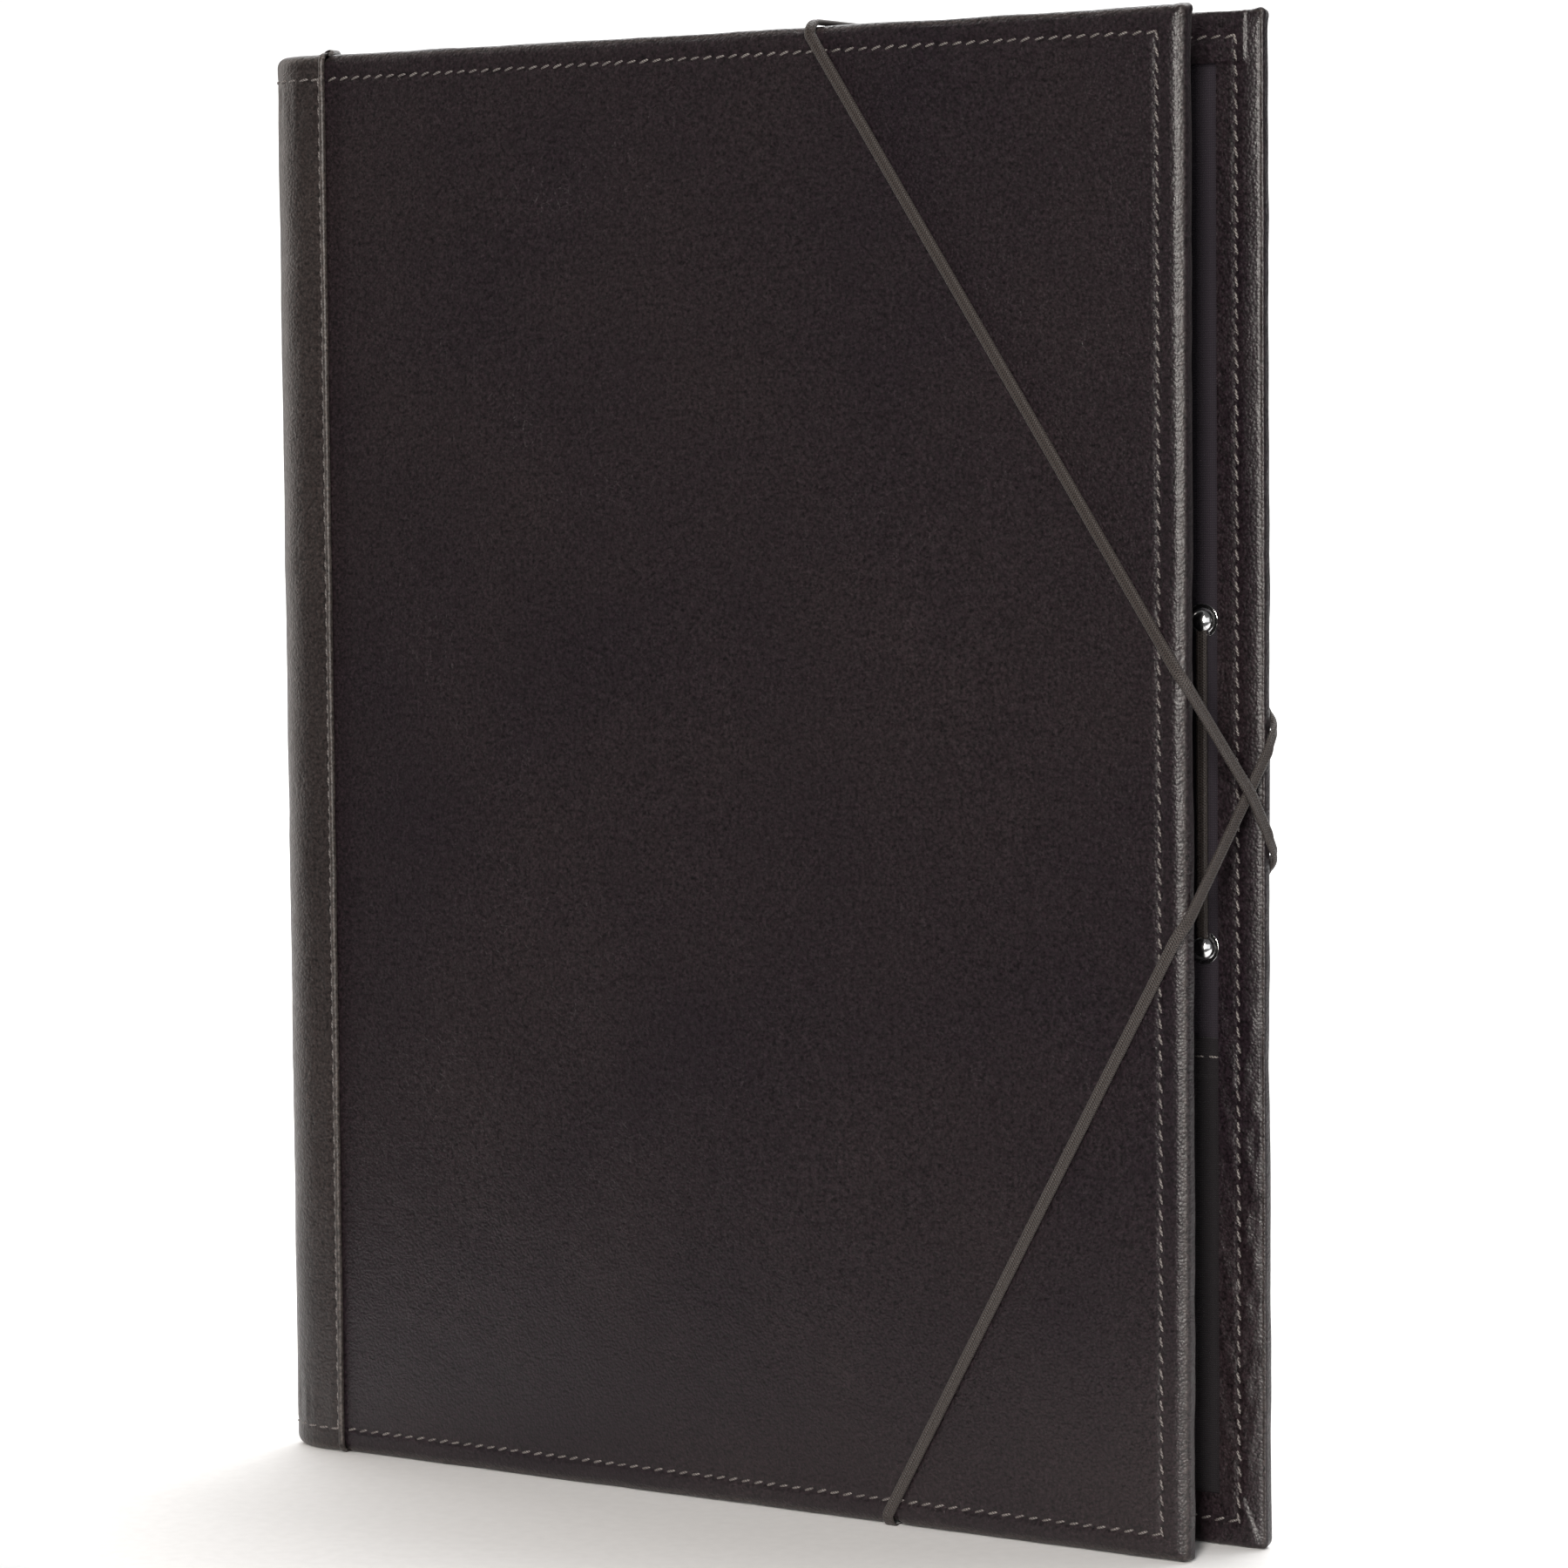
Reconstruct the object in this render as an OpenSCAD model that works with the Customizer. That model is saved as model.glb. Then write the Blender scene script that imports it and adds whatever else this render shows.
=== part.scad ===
// Leather document cover, closed, standing upright on its bottom edges.
// X runs from the spine to the fore-edge, Y through the thickness, Z up.
// The front cover faces -Y. Two folds with upright axes let it open flat.

/* [Covers] */
// Height of both covers
cover_h = 320; // [240:1:400]
// Width of the front cover, from the outside of the spine to its fore-edge
front_w = 240; // [160:1:300]
// How far the rear cover reaches past the front cover
rear_reach = 7; // [0:0.5:14]
// Thickness of the closed cover between its two outer leather faces
closed_t = 25; // [20:0.5:60]
// Radius of the padded outer arris around each cover
edge_r = 2; // [1.4:0.1:2.2]
// Radius of the inner arris around each cover
inner_r = 1.2; // [0.8:0.1:1.4]

/* [Layers] */
// Thickness of the cover leather
leather_t = 1.2; // [1:0.1:1.6]
// Thickness of the foam under the leather
pad_t = 0.6; // [0.4:0.1:1.5]
// Thickness of the stiffening board
board_t = 1.1; // [0.8:0.1:3]
// Thickness of the lining cloth
lining_t = 0.4; // [0.2:0.1:0.8]
// Width of the leather turned in over the lining
hem_w = 10.7; // [8:0.1:12]

/* [Spine] */
// Thickness of the spine leather
strip_t = 0.9; // [0.6:0.1:1.4]
// Width of the spine leather where it laps on each cover
strip_lap = 18; // [12:0.5:30]
// Outer radius of the two spine folds
fold_r = 6; // [5:0.5:8]
// Thickness of the spine's stiffening board
spine_board_t = 1.8; // [1:0.1:2.5]
// Width of each inner hinge strip over the lining
hinge_lap = 20; // [12:1:30]
// Gap at each fold between pieces that turn against each other
fold_gap = 0.4; // [0.3:0.05:0.8]

/* [Stitching] */
// Distance of the top and bottom rows from the edge
row_in = 5.5; // [4:0.1:7]
// Distance of the fore-edge row from the edge
fore_row_in = 6.2; // [4:0.1:7]
// Distance of the spine seam from the strip's folded edge
seam_in = 1.5; // [1:0.1:3]
// Width of the thread
thread_w = 0.7; // [0.4:0.1:1]
// Height of the thread over the leather
thread_t = 0.15; // [0.1:0.05:0.3]

/* [Pocket] */
// Height of the pocket's mouth over the bottom of the cover
pocket_top = 107; // [60:1:180]
// Thickness of the pocket cloth
pocket_t = 0.5; // [0.3:0.1:0.8]
// Height of the folded hem along the pocket's mouth
pocket_hem = 8; // [5:1:15]

/* [Eyelets] */
// Distance of the eyelets from the rear cover's fore-edge
eyelet_in = 14.8; // [14.5:0.1:25]
// Distance between the two eyelets
eyelet_pitch = 68; // [40:1:120]
// Radius of the eyelet's bore
eyelet_bore_r = 1.6; // [1.5:0.05:2]
// Radius of the eyelet's flange on the lining, and of its washer
eyelet_rim_r = 3.6; // [3.4:0.1:4]
// Radius of the eyelet's domed cap
cap_r = 2.9; // [2.8:0.05:3.2]

/* [Elastic] */
// Width of the elastic band
band_w = 2.6; // [2:0.1:2.7]
// Thickness of the elastic band
band_t = 1.2; // [0.8:0.1:1.4]
// Where the band goes over the top edge, from the front cover's fore-edge
band_top_in = 90; // [40:1:120]
// Where the band goes under the bottom edge, from the front cover's fore-edge
band_bottom_in = 73; // [40:1:120]
// Height of the upper strand over mid-height at the front fore-edge
upper_dz = 25; // [15:0.5:40]
// Depth of the lower strand under mid-height at the front fore-edge
lower_dz = 30; // [15:0.5:40]

/* [Hidden] */
$fn = 48;
EPS = 0.01;

// Cover section, measured inwards from the outer leather face
stack_t = pad_t + board_t + lining_t;
cover_t = 2 * leather_t + stack_t;
lining_face = leather_t + stack_t;
rear_w = front_w + rear_reach;
half_t = closed_t / 2;
mid_z = cover_h / 2;

// Folds: the corner's arc runs between the flat of the spine and the cover
strip_out = half_t + strip_t;
fold_cut = fold_gap / sqrt(2);
// The fold turns about this distance in from both outer faces of its corner
fold_in = fold_r * (1 - PI / 4);
cover_x0 = fold_r + 0.5;
spine_half = strip_out - fold_r;

// Elastic band
band_lift = thread_t + 0.05;
band_off = band_lift + band_t / 2;
press = leather_t * 0.65;
pressed_t = press - band_lift;
groove_w = band_w + 1.4;
band_top_x = front_w - band_top_in;
band_bottom_x = front_w - band_bottom_in;
// How far from mid-height each strand leaves the rear cover's inner arris
upper_cross_dz = 10.5;
lower_cross_dz = 8;
cross_dz_both = upper_cross_dz + lower_cross_dz;
// How far short of its height on the front face a strand meets the front arris
arris_short = 2;
// The share of the way over the gap at which the two strands cross
cross_share = cross_dz_both / (cross_dz_both + upper_dz + lower_dz - 2 * arris_short);
// How far the upper strand rides out over the lower one where they cross
cross_over = band_t + 0.3;

// Eyelets
eyelet_x = rear_w - eyelet_in;
barrel_r = eyelet_bore_r + 0.6;
hole_r = barrel_r + 0.05;
washer_t = 0.4;
eyelet_dz = eyelet_pitch / 2;
flange_t = 0.3;
cap_t = 0.4;
// How far the cap's centre lies under the lining
cap_drop = 0.5;
// The notch in the cap's side that the band leaves by, with its clearance
notch_w = band_w + 0.4;
notch_h = band_t + 0.3;
// Height of the inside strand over the lining
inside_lift = 0.15;

// The frame's origin is under the middle of the whole closed cover
mid_x = (rear_w + band_lift + band_t) / 2;
mid_y = washer_t / 2;

leather_col = [0.13, 0.11, 0.12];
thread_col = [0.55, 0.52, 0.5];
lining_col = [0.2, 0.18, 0.22];
board_col = [0.6, 0.55, 0.47];
foam_col = [0.8, 0.8, 0.76];
metal_col = [0.85, 0.85, 0.87];
band_col = [0.24, 0.22, 0.22];

// ---- Placing ----

module placed() {
    translate([-mid_x, -mid_y, 0]) children();
}

// A cover is drawn with its outer face at y = 0 and its inside towards +Y
module as_front() {
    placed() translate([0, -half_t, 0]) children();
}

module as_rear() {
    placed() mirror([0, 1, 0]) translate([0, -half_t, 0]) children();
}

// ---- Shared shapes of a cover ----

// The sharp corner outside a rounding of radius r whose centre is at r, r
module corner_waste(r) {
    difference() {
        translate([-1, -1]) square([r + 1, r + 1]);
        translate([r, r]) circle(r);
    }
}

// Section of a cover across its top and bottom edges: x through it, y up
module upright_section(lift = 0) {
    difference() {
        translate([0, lift]) square([cover_t, cover_h - lift]);
        translate([0, lift]) corner_waste(edge_r);
        translate([cover_t, lift]) mirror([1, 0]) corner_waste(inner_r);
        translate([0, cover_h]) mirror([0, 1]) corner_waste(edge_r);
        translate([cover_t, cover_h]) mirror([1, 1]) rotate(180) corner_waste(inner_r);
    }
}

// Section of a cover across its fore-edge: x along it, y through it
module level_section(w) {
    difference() {
        translate([cover_x0, 0]) square([w - cover_x0, cover_t]);
        translate([w, 0]) mirror([1, 0]) corner_waste(edge_r);
        translate([w, cover_t]) rotate(180) corner_waste(inner_r);
    }
}

module upright_bar(x0, x1, lift = 0) {
    translate([x0, 0, 0]) rotate([90, 0, 90]) linear_extrude(x1 - x0) upright_section(lift);
}

module rounded_slab(w) {
    intersection() {
        linear_extrude(cover_h) level_section(w);
        upright_bar(cover_x0 - 1, w + 1);
    }
}

// The dent that the taut band presses into the bottom edge
module band_dent() {
    x0 = band_bottom_x - groove_w / 2;
    difference() {
        translate([x0, -1, -1]) cube([groove_w, cover_t + 2, edge_r + press + 1]);
        upright_bar(x0 - 1, x0 + groove_w + 1, press);
    }
}

// One flat layer of a cover inside its turned-in leather
module layer(w, y0, t) {
    translate([cover_x0, y0, leather_t])
        cube([w - cover_x0 - leather_t, t, cover_h - 2 * leather_t]);
}

module cover_leather(w) {
    difference() {
        rounded_slab(w);
        translate([-EPS, 0, 0]) layer(w + EPS, leather_t, stack_t);
        translate([cover_x0 - 1, lining_face - EPS, hem_w])
            cube([w - hem_w - cover_x0 + 1, leather_t + 1, cover_h - 2 * hem_w]);
        band_dent();
    }
}

// A flat row of thread as a thin bar on the face at y
module thread_up(x, y, z0, z1) {
    translate([x - thread_w / 2, y, z0]) cube([thread_w, thread_t, z1 - z0]);
}

module thread_level(z, y, x0, x1) {
    translate([x0, y, z - thread_w / 2]) cube([x1 - x0, thread_t, thread_w]);
}

// The row along three edges, from x0 out to the fore-edge and back
module thread_round(w, y, x0) {
    thread_level(row_in, y, x0, w - fore_row_in + thread_w / 2);
    thread_level(cover_h - row_in, y, x0, w - fore_row_in + thread_w / 2);
    thread_up(w - fore_row_in, y, row_in, cover_h - row_in);
}

module hinge_strip() {
    translate([cover_x0, lining_face, hem_w])
        cube([hinge_lap, lining_t, cover_h - 2 * hem_w]);
}

// The ring that a fold's arc is cut from, about its centre
module fold_ring() {
    difference() {
        circle(fold_r);
        circle(fold_r - strip_t);
    }
}

// The half of a fold's arc next to the cover, and the flat lap on the leather
module lap_section() {
    translate([0, -strip_t]) {
        intersection() {
            translate([fold_r, fold_r]) fold_ring();
            polygon([[fold_cut, 0], [fold_r, 0], [fold_r, fold_r - fold_cut]]);
        }
        translate([fold_r, 0]) square([strip_lap - fold_r, strip_t]);
    }
}

module cover_strip() {
    linear_extrude(cover_h) lap_section();
}

module strip_threads() {
    thread_up(strip_lap - seam_in, -strip_t - thread_t, row_in, cover_h - row_in);
    thread_level(row_in, -strip_t - thread_t, fold_r, strip_lap - seam_in);
    thread_level(cover_h - row_in, -strip_t - thread_t, fold_r, strip_lap - seam_in);
}

// ---- Front cover ----

module front_board() {
    color(board_col) as_front() layer(front_w, leather_t + pad_t, board_t);
}

module front_padding() {
    color(foam_col) as_front() layer(front_w, leather_t, pad_t);
}

module front_leather() {
    color(leather_col) as_front() cover_leather(front_w);
}

module front_lining() {
    color(lining_col) as_front() layer(front_w, leather_t + pad_t + board_t, lining_t);
}

module front_thread_outer() {
    color(thread_col) as_front() thread_round(front_w, -thread_t, strip_lap);
}

module front_thread_inner() {
    color(thread_col) as_front() thread_round(front_w, cover_t, cover_x0);
}

module front_spine_leather() {
    color(leather_col) as_front() cover_strip();
}

module front_hinge_lining() {
    color(lining_col) as_front() hinge_strip();
}

module front_seam_thread() {
    color(thread_col) as_front() strip_threads();
}

// ---- Spine ----

module spine_board() {
    color(board_col) placed()
        translate([strip_t, -spine_half, leather_t])
            cube([spine_board_t, 2 * spine_half, cover_h - 2 * leather_t]);
}

// Half of the spine: its flat, and the half of a fold's arc next to it
module spine_half_section() {
    square([strip_t, spine_half]);
    translate([0, spine_half]) intersection() {
        translate([fold_r, 0]) fold_ring();
        polygon([[0, 0], [fold_r - fold_cut, 0], [0, fold_r - fold_cut]]);
    }
}

// The spine's stitch rows, sunk flush with the leather
module spine_rows() {
    for (z = [row_in, cover_h - row_in])
        translate([0, -spine_half, z - thread_w / 2])
            cube([thread_t, 2 * spine_half, thread_w]);
}

module spine_leather() {
    color(leather_col) placed() difference() {
        linear_extrude(cover_h) {
            spine_half_section();
            mirror([0, 1]) spine_half_section();
        }
        spine_rows();
    }
}

module spine_thread() {
    color(thread_col) placed() spine_rows();
}

module spine_lining() {
    color(lining_col) placed()
        translate([strip_t + spine_board_t, -spine_half, leather_t])
            cube([lining_t, 2 * spine_half, cover_h - 2 * leather_t]);
}

// ---- Rear cover ----

// The two holes that the eyelets pass through
module eyelet_holes() {
    for (dz = [-eyelet_dz, eyelet_dz])
        translate([eyelet_x, -1, mid_z + dz]) rotate([-90, 0, 0])
            cylinder(r = hole_r, h = cover_t + 2);
}

module rear_board() {
    color(board_col) as_rear() difference() {
        layer(rear_w, leather_t + pad_t, board_t);
        eyelet_holes();
    }
}

module rear_padding() {
    color(foam_col) as_rear() difference() {
        layer(rear_w, leather_t, pad_t);
        eyelet_holes();
    }
}

module rear_leather() {
    color(leather_col) as_rear() difference() {
        cover_leather(rear_w);
        eyelet_holes();
    }
}

module rear_lining() {
    color(lining_col) as_rear() difference() {
        layer(rear_w, leather_t + pad_t + board_t, lining_t);
        eyelet_holes();
    }
}

module rear_thread_outer() {
    color(thread_col) as_rear() thread_round(rear_w, -thread_t, strip_lap);
}

module rear_thread_inner() {
    color(thread_col) as_rear() thread_round(rear_w, cover_t, cover_x0);
}

module rear_spine_leather() {
    color(leather_col) as_rear() cover_strip();
}

module rear_hinge_lining() {
    color(lining_col) as_rear() hinge_strip();
}

module rear_seam_thread() {
    color(thread_col) as_rear() strip_threads();
}

// ---- Pocket ----

pocket_x0 = cover_x0 + hinge_lap;
pocket_x1 = rear_w - hem_w;

module rear_pocket() {
    color(lining_col) as_rear() {
        translate([pocket_x0, lining_face, hem_w])
            cube([pocket_x1 - pocket_x0, pocket_t, pocket_top - hem_w]);
        translate([pocket_x0, lining_face, pocket_top - pocket_hem])
            cube([pocket_x1 - pocket_x0, pocket_t + lining_t, pocket_hem]);
    }
}

module rear_pocket_thread() {
    color(thread_col) as_rear()
        thread_level(pocket_top - pocket_hem / 2, lining_face + pocket_t + lining_t,
            pocket_x0, pocket_x1);
}

// ---- Eyelets ----

// Section of an eyelet: x out from its axis, y the depth from the outer face
module eyelet_section() {
    translate([eyelet_bore_r, -washer_t])
        square([barrel_r - eyelet_bore_r, lining_face + washer_t + EPS]);
    translate([eyelet_bore_r, lining_face])
        square([eyelet_rim_r - eyelet_bore_r, flange_t]);
    intersection() {
        translate([0, lining_face - cap_drop]) difference() {
            circle(cap_r);
            circle(cap_r - cap_t);
        }
        translate([0, lining_face]) square([cap_r, cap_r]);
    }
}

// The cap covers the bore, and the band leaves by the notch that faces the
// other eyelet
module eyelet(dz) {
    color(metal_col) as_rear()
        translate([eyelet_x, 0, mid_z + dz]) rotate([-90, 0, 0]) difference() {
            rotate_extrude() eyelet_section();
            translate([-notch_w / 2, dz > 0 ? 0 : -eyelet_rim_r - 1, lining_face])
                cube([notch_w, eyelet_rim_r + 1, notch_h]);
        }
}

module eyelet_upper() {
    eyelet(eyelet_dz);
}

module eyelet_lower() {
    eyelet(-eyelet_dz);
}

module eyelet_washers() {
    color(metal_col) as_rear() for (dz = [-eyelet_dz, eyelet_dz])
        translate([eyelet_x, 0, mid_z + dz]) rotate([90, 0, 0]) difference() {
            cylinder(r = eyelet_rim_r, h = washer_t);
            translate([0, 0, -1]) cylinder(r = hole_r, h = washer_t + 2);
        }
}

// ---- Elastic band ----
// A route is a list of stations: a point, the outward normal and a thickness.

// A bend round an arris: c is the arris centre, u and v are the outward
// directions before and after it, a0 and a1 the part of the quarter turn used
function bend(c, u, v, r, drift, a0 = 0, a1 = 90, t0 = band_t, t1 = band_t, n = 5) = [
    for (i = [0:n])
        let (s = i / n, a = a0 + (a1 - a0) * s, d = u * cos(a) + v * sin(a), t = t0 + (t1 - t0) * s)
            [c + d * (r + band_lift + t / 2) + drift * (s - 0.5), d, t]
];

function unit(v) = v / norm(v);

// Corners of the band's section at one point, an octagon with soft corners
function ring(p, d, b, t) = [
    for (k = [[1, 0.5], [0.8, 1], [-0.8, 1], [-1, 0.5], [-1, -0.5], [-0.8, -1], [0.8, -1], [1, -0.5]])
        p + b * (k[0] * band_w / 2) + d * (k[1] * t / 2)
];

module band(route) {
    last = len(route) - 1;
    rings = [
        for (i = [0:last])
            let (
                along = unit(route[min(i + 1, last)][0] - route[max(i - 1, 0)][0]),
                b = unit(cross(along, route[i][1]))
            )
                ring(route[i][0], route[i][1], b, route[i][2])
    ];
    sides = [
        for (i = [0:last - 1], k = [0:7])
            [8 * i + k, 8 * i + (k + 1) % 8, 8 * (i + 1) + (k + 1) % 8, 8 * (i + 1) + k]
    ];
    ends = [[for (k = [7:-1:0]) k], [for (k = [0:7]) 8 * last + k]];
    polyhedron([for (r = rings) each r], concat(sides, ends));
}

X = [1, 0, 0];
Y = [0, 1, 0];
Z = [0, 0, 1];

// Centres of the two arrises that the band spans between, and its slant there
rear_arris = [rear_w - inner_r, half_t - cover_t + inner_r, mid_z];
front_arris = [front_w - edge_r, -half_t + edge_r, mid_z];
lean = atan(rear_reach / (rear_arris[1] - front_arris[1]));
way = X * cos(lean) - Y * sin(lean);

// One run: out of an eyelet, round the rear fore-edge, over the gap, over the
// front cover to the top or bottom edge, and on to the middle of the back.
// up is 1 for the run over the top edge and -1 for the run under the bottom.
function run(up, front_dz, cross_dz, cross_out) =
    let (
        eyelet = [eyelet_x, half_t + washer_t + band_off, mid_z - up * eyelet_dz],
        back_c = [rear_w - edge_r, half_t - edge_r, mid_z - up * (cross_dz + 4.5)],
        in_c = rear_arris - Z * up * cross_dz,
        out_c = front_arris + Z * up * (front_dz - arris_short),
        s = cross_share,
        skin = (1 - s) * inner_r + s * edge_r + band_off,
        over = up > 0,
        x_end = over ? band_top_x : band_bottom_x,
        z_end = over ? cover_h - edge_r : edge_r + press,
        t_end = over ? band_t : pressed_t
    )
        concat(
            [for (d = [-0.8, 3]) [eyelet + [d, 0, up * d], Y, band_t]],
            [[eyelet + [6, -washer_t, up * 6], Y, band_t]],
            bend(back_c, Y, X, edge_r, Z * up * 4),
            bend(in_c, X, -Y, inner_r, Z * up * 1.5, 0, lean, n = 2),
            [[in_c + (out_c - in_c) * s + way * (skin + cross_out), way, band_t]],
            bend(out_c, X, -Y, edge_r, Z * up * 5, lean, 90, n = 4),
            bend([x_end, -half_t + edge_r, z_end], -Y, Z * up, edge_r, -X * 0.3, t1 = t_end),
            bend([x_end, half_t - edge_r, z_end], Z * up, Y, edge_r, X * 0, t0 = t_end),
            [[[(band_top_x + band_bottom_x) / 2, half_t + band_off, mid_z], Y, band_t]]
        );

// Inside strand: in through one eyelet, along the lining and out of the other
inner_bend_r = 1.3;
inner_y = half_t - lining_face - inside_lift - band_t / 2 + inner_bend_r;

function inner_bend(up) = [
    for (a = [0:18:90])
        let (
            y = inner_y - inner_bend_r * sin(a),
            z = mid_z + up * (inner_bend_r * (1 - cos(a)) - eyelet_dz)
        )
            [[eyelet_x, y, z], -Z * up * cos(a) - Y * sin(a), band_t]
];

function reverse(list) = [for (i = [len(list) - 1:-1:0]) list[i]];

function inner_run() =
    let (out_y = half_t + washer_t)
        concat(
            [[[eyelet_x, out_y, mid_z - eyelet_dz], -Z, band_t]],
            inner_bend(1),
            reverse(inner_bend(-1)),
            [[[eyelet_x, out_y, mid_z + eyelet_dz], Z, band_t]]
        );

module elastic_inner() {
    color(band_col) placed() band(inner_run());
}

module elastic_upper() {
    color(band_col) placed() band(run(1, upper_dz, upper_cross_dz, cross_over));
}

module elastic_lower() {
    color(band_col) placed() band(run(-1, lower_dz, lower_cross_dz, 0));
}

front_board();
front_padding();
front_leather();
front_lining();
front_thread_outer();
front_thread_inner();
front_spine_leather();
front_hinge_lining();
front_seam_thread();
spine_board();
spine_leather();
spine_lining();
spine_thread();
rear_board();
rear_padding();
rear_leather();
rear_lining();
rear_thread_outer();
rear_thread_inner();
rear_spine_leather();
rear_hinge_lining();
rear_seam_thread();
rear_pocket();
rear_pocket_thread();
eyelet_upper();
eyelet_lower();
eyelet_washers();
elastic_inner();
elastic_upper();
elastic_lower();
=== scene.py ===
# %% [markdown]
# # A leather document cover
# Two padded leather covers and a wide spine hold loose sheets, and an elastic band keeps them shut.
# The measured model is loaded first and never changed. Every piece below takes its size and place from
# it, so that each one still fits, and still moves, when it is made again in finer detail.

# %% Load the measured model
import math

import bmesh
import bpy
import numpy as np
from mathutils import Matrix, Vector


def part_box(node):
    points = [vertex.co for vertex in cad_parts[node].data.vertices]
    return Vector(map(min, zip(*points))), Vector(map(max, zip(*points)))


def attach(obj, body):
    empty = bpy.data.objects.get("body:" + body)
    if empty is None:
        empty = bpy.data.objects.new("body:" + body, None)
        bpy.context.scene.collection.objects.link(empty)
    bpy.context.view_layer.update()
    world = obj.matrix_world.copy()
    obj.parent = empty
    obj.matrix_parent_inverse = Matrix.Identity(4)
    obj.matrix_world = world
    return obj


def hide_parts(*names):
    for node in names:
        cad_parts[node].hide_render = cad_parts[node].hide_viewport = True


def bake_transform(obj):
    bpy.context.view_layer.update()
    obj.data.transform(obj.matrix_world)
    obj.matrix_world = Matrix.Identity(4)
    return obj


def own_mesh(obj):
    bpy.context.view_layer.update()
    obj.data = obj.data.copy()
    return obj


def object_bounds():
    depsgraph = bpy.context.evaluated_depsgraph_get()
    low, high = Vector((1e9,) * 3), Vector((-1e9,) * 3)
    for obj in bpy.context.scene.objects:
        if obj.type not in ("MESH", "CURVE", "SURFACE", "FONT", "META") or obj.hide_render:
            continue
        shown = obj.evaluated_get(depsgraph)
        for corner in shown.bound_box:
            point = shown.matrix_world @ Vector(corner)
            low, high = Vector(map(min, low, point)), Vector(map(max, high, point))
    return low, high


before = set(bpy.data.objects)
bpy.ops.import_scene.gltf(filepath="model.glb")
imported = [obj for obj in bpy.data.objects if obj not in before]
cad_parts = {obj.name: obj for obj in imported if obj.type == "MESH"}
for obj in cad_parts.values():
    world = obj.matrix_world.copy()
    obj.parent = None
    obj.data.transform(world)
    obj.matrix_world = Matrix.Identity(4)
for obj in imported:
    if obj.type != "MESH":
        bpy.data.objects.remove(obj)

cad_box = [list(corner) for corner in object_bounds()]

# %% [markdown]
# ## Measuring the covers
# A leather worker measures a cover from its spine and from its outer face. So the work here is in
# millimetres, as (x, depth, z): x runs from the outside of the spine to the fore-edge, depth from a
# cover's outer face to the inside, and z upwards. One function then places a piece in either cover.

# %% Sizes from the measured model, in millimetres
MM = 0.001


def corners(node):
    low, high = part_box(node)
    return np.array(low) / MM, np.array(high) / MM


front_low, front_high = corners("front_leather")
rear_high = corners("rear_leather")[1]
spine_x = corners("spine_leather")[0][0]
height = front_high[2]
cover_t = front_high[1] - front_low[1]
half_t = (rear_high[1] - front_low[1]) / 2
mid_y = (rear_high[1] + front_low[1]) / 2
cover_start = front_low[0] - spine_x
strip_t = front_low[1] - corners("front_spine_leather")[0][1]
strip_lap = corners("front_spine_leather")[1][0] - spine_x
lining_depth = corners("front_lining")[1][1] - front_low[1]
hinge_end = corners("front_hinge_lining")[1][0] - spine_x
hem_w = corners("front_hinge_lining")[0][2]
widths = {"front": front_high[0] - spine_x, "rear": rear_high[0] - spine_x}
print("height", round(height, 2), "widths", {k: round(float(v), 2) for k, v in widths.items()})

# %% Placing a piece in the front or the rear cover
INWARD = {"front": 1, "rear": -1}
OUTER_Y = {"front": front_low[1], "rear": rear_high[1]}


def placed(side, local):
    """Points (x, depth, z) in millimetres of one cover, as points of the frame in metres."""
    local = np.asarray(local, float)
    y = OUTER_Y[side] + INWARD[side] * local[..., 1]
    return np.stack([spine_x + local[..., 0], y, local[..., 2]], -1) * MM


def turned(side, direction):
    """A direction in (x, depth, z), as a direction of the frame."""
    return np.asarray(direction, float) * (1, INWARD[side], 1)


# %% [markdown]
# ## Small tools for soft surfaces
# Leather and cloth are never quite flat. A ripple is a sum of a few waves with fixed random directions:
# it is smooth at any size, costs little, and is the same on every run. A ramp blends one shape into the
# next. Lines that are close together where the shape turns, and wide apart where it is flat, keep the
# pieces light.

# %% Ripples, ramps and grid lines
def ripple(u, v, size, seed):
    """Smooth unevenness of about that size in millimetres, mostly within -1 to 1."""
    rng = np.random.default_rng(seed)
    total = 0.0
    for _ in range(7):
        angle, phase = rng.uniform(0, 2 * math.pi, 2)
        wave = 2 * math.pi * rng.uniform(0.6, 1.7) / size
        total = total + np.sin((u * math.cos(angle) + v * math.sin(angle)) * wave + phase)
    return total / 3.5


def ramp(start, end, t):
    """0 before start and 1 after end, with soft ends."""
    s = np.clip((t - start) / (end - start), 0, 1)
    return s * s * (3 - 2 * s)


def bell(t, width):
    return np.exp(-((t / width) ** 2))


def graded(*spans):
    """Grid lines over spans of (start, end, step)."""
    lines = [np.linspace(a, b, max(2, round((b - a) / step) + 1)) for a, b, step in spans]
    return np.unique(np.round(np.concatenate(lines), 4))


# %% Turning grids of points into a mesh
def grid_faces(rows, columns, first=0):
    index = first + np.arange(rows * columns).reshape(rows, columns)
    quads = np.stack([index[:-1, :-1], index[1:, :-1], index[1:, 1:], index[:-1, 1:]], -1)
    return quads.reshape(-1, 4)


def prism_faces(count, first=0):
    """Two ends, and the sides between one ring of points and the next."""
    near = list(range(first, first + count))
    far = [k + count for k in near]
    sides = [(near[k], far[k], far[(k + 1) % count], near[(k + 1) % count]) for k in range(count)]
    return [near, far[::-1]] + sides


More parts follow.
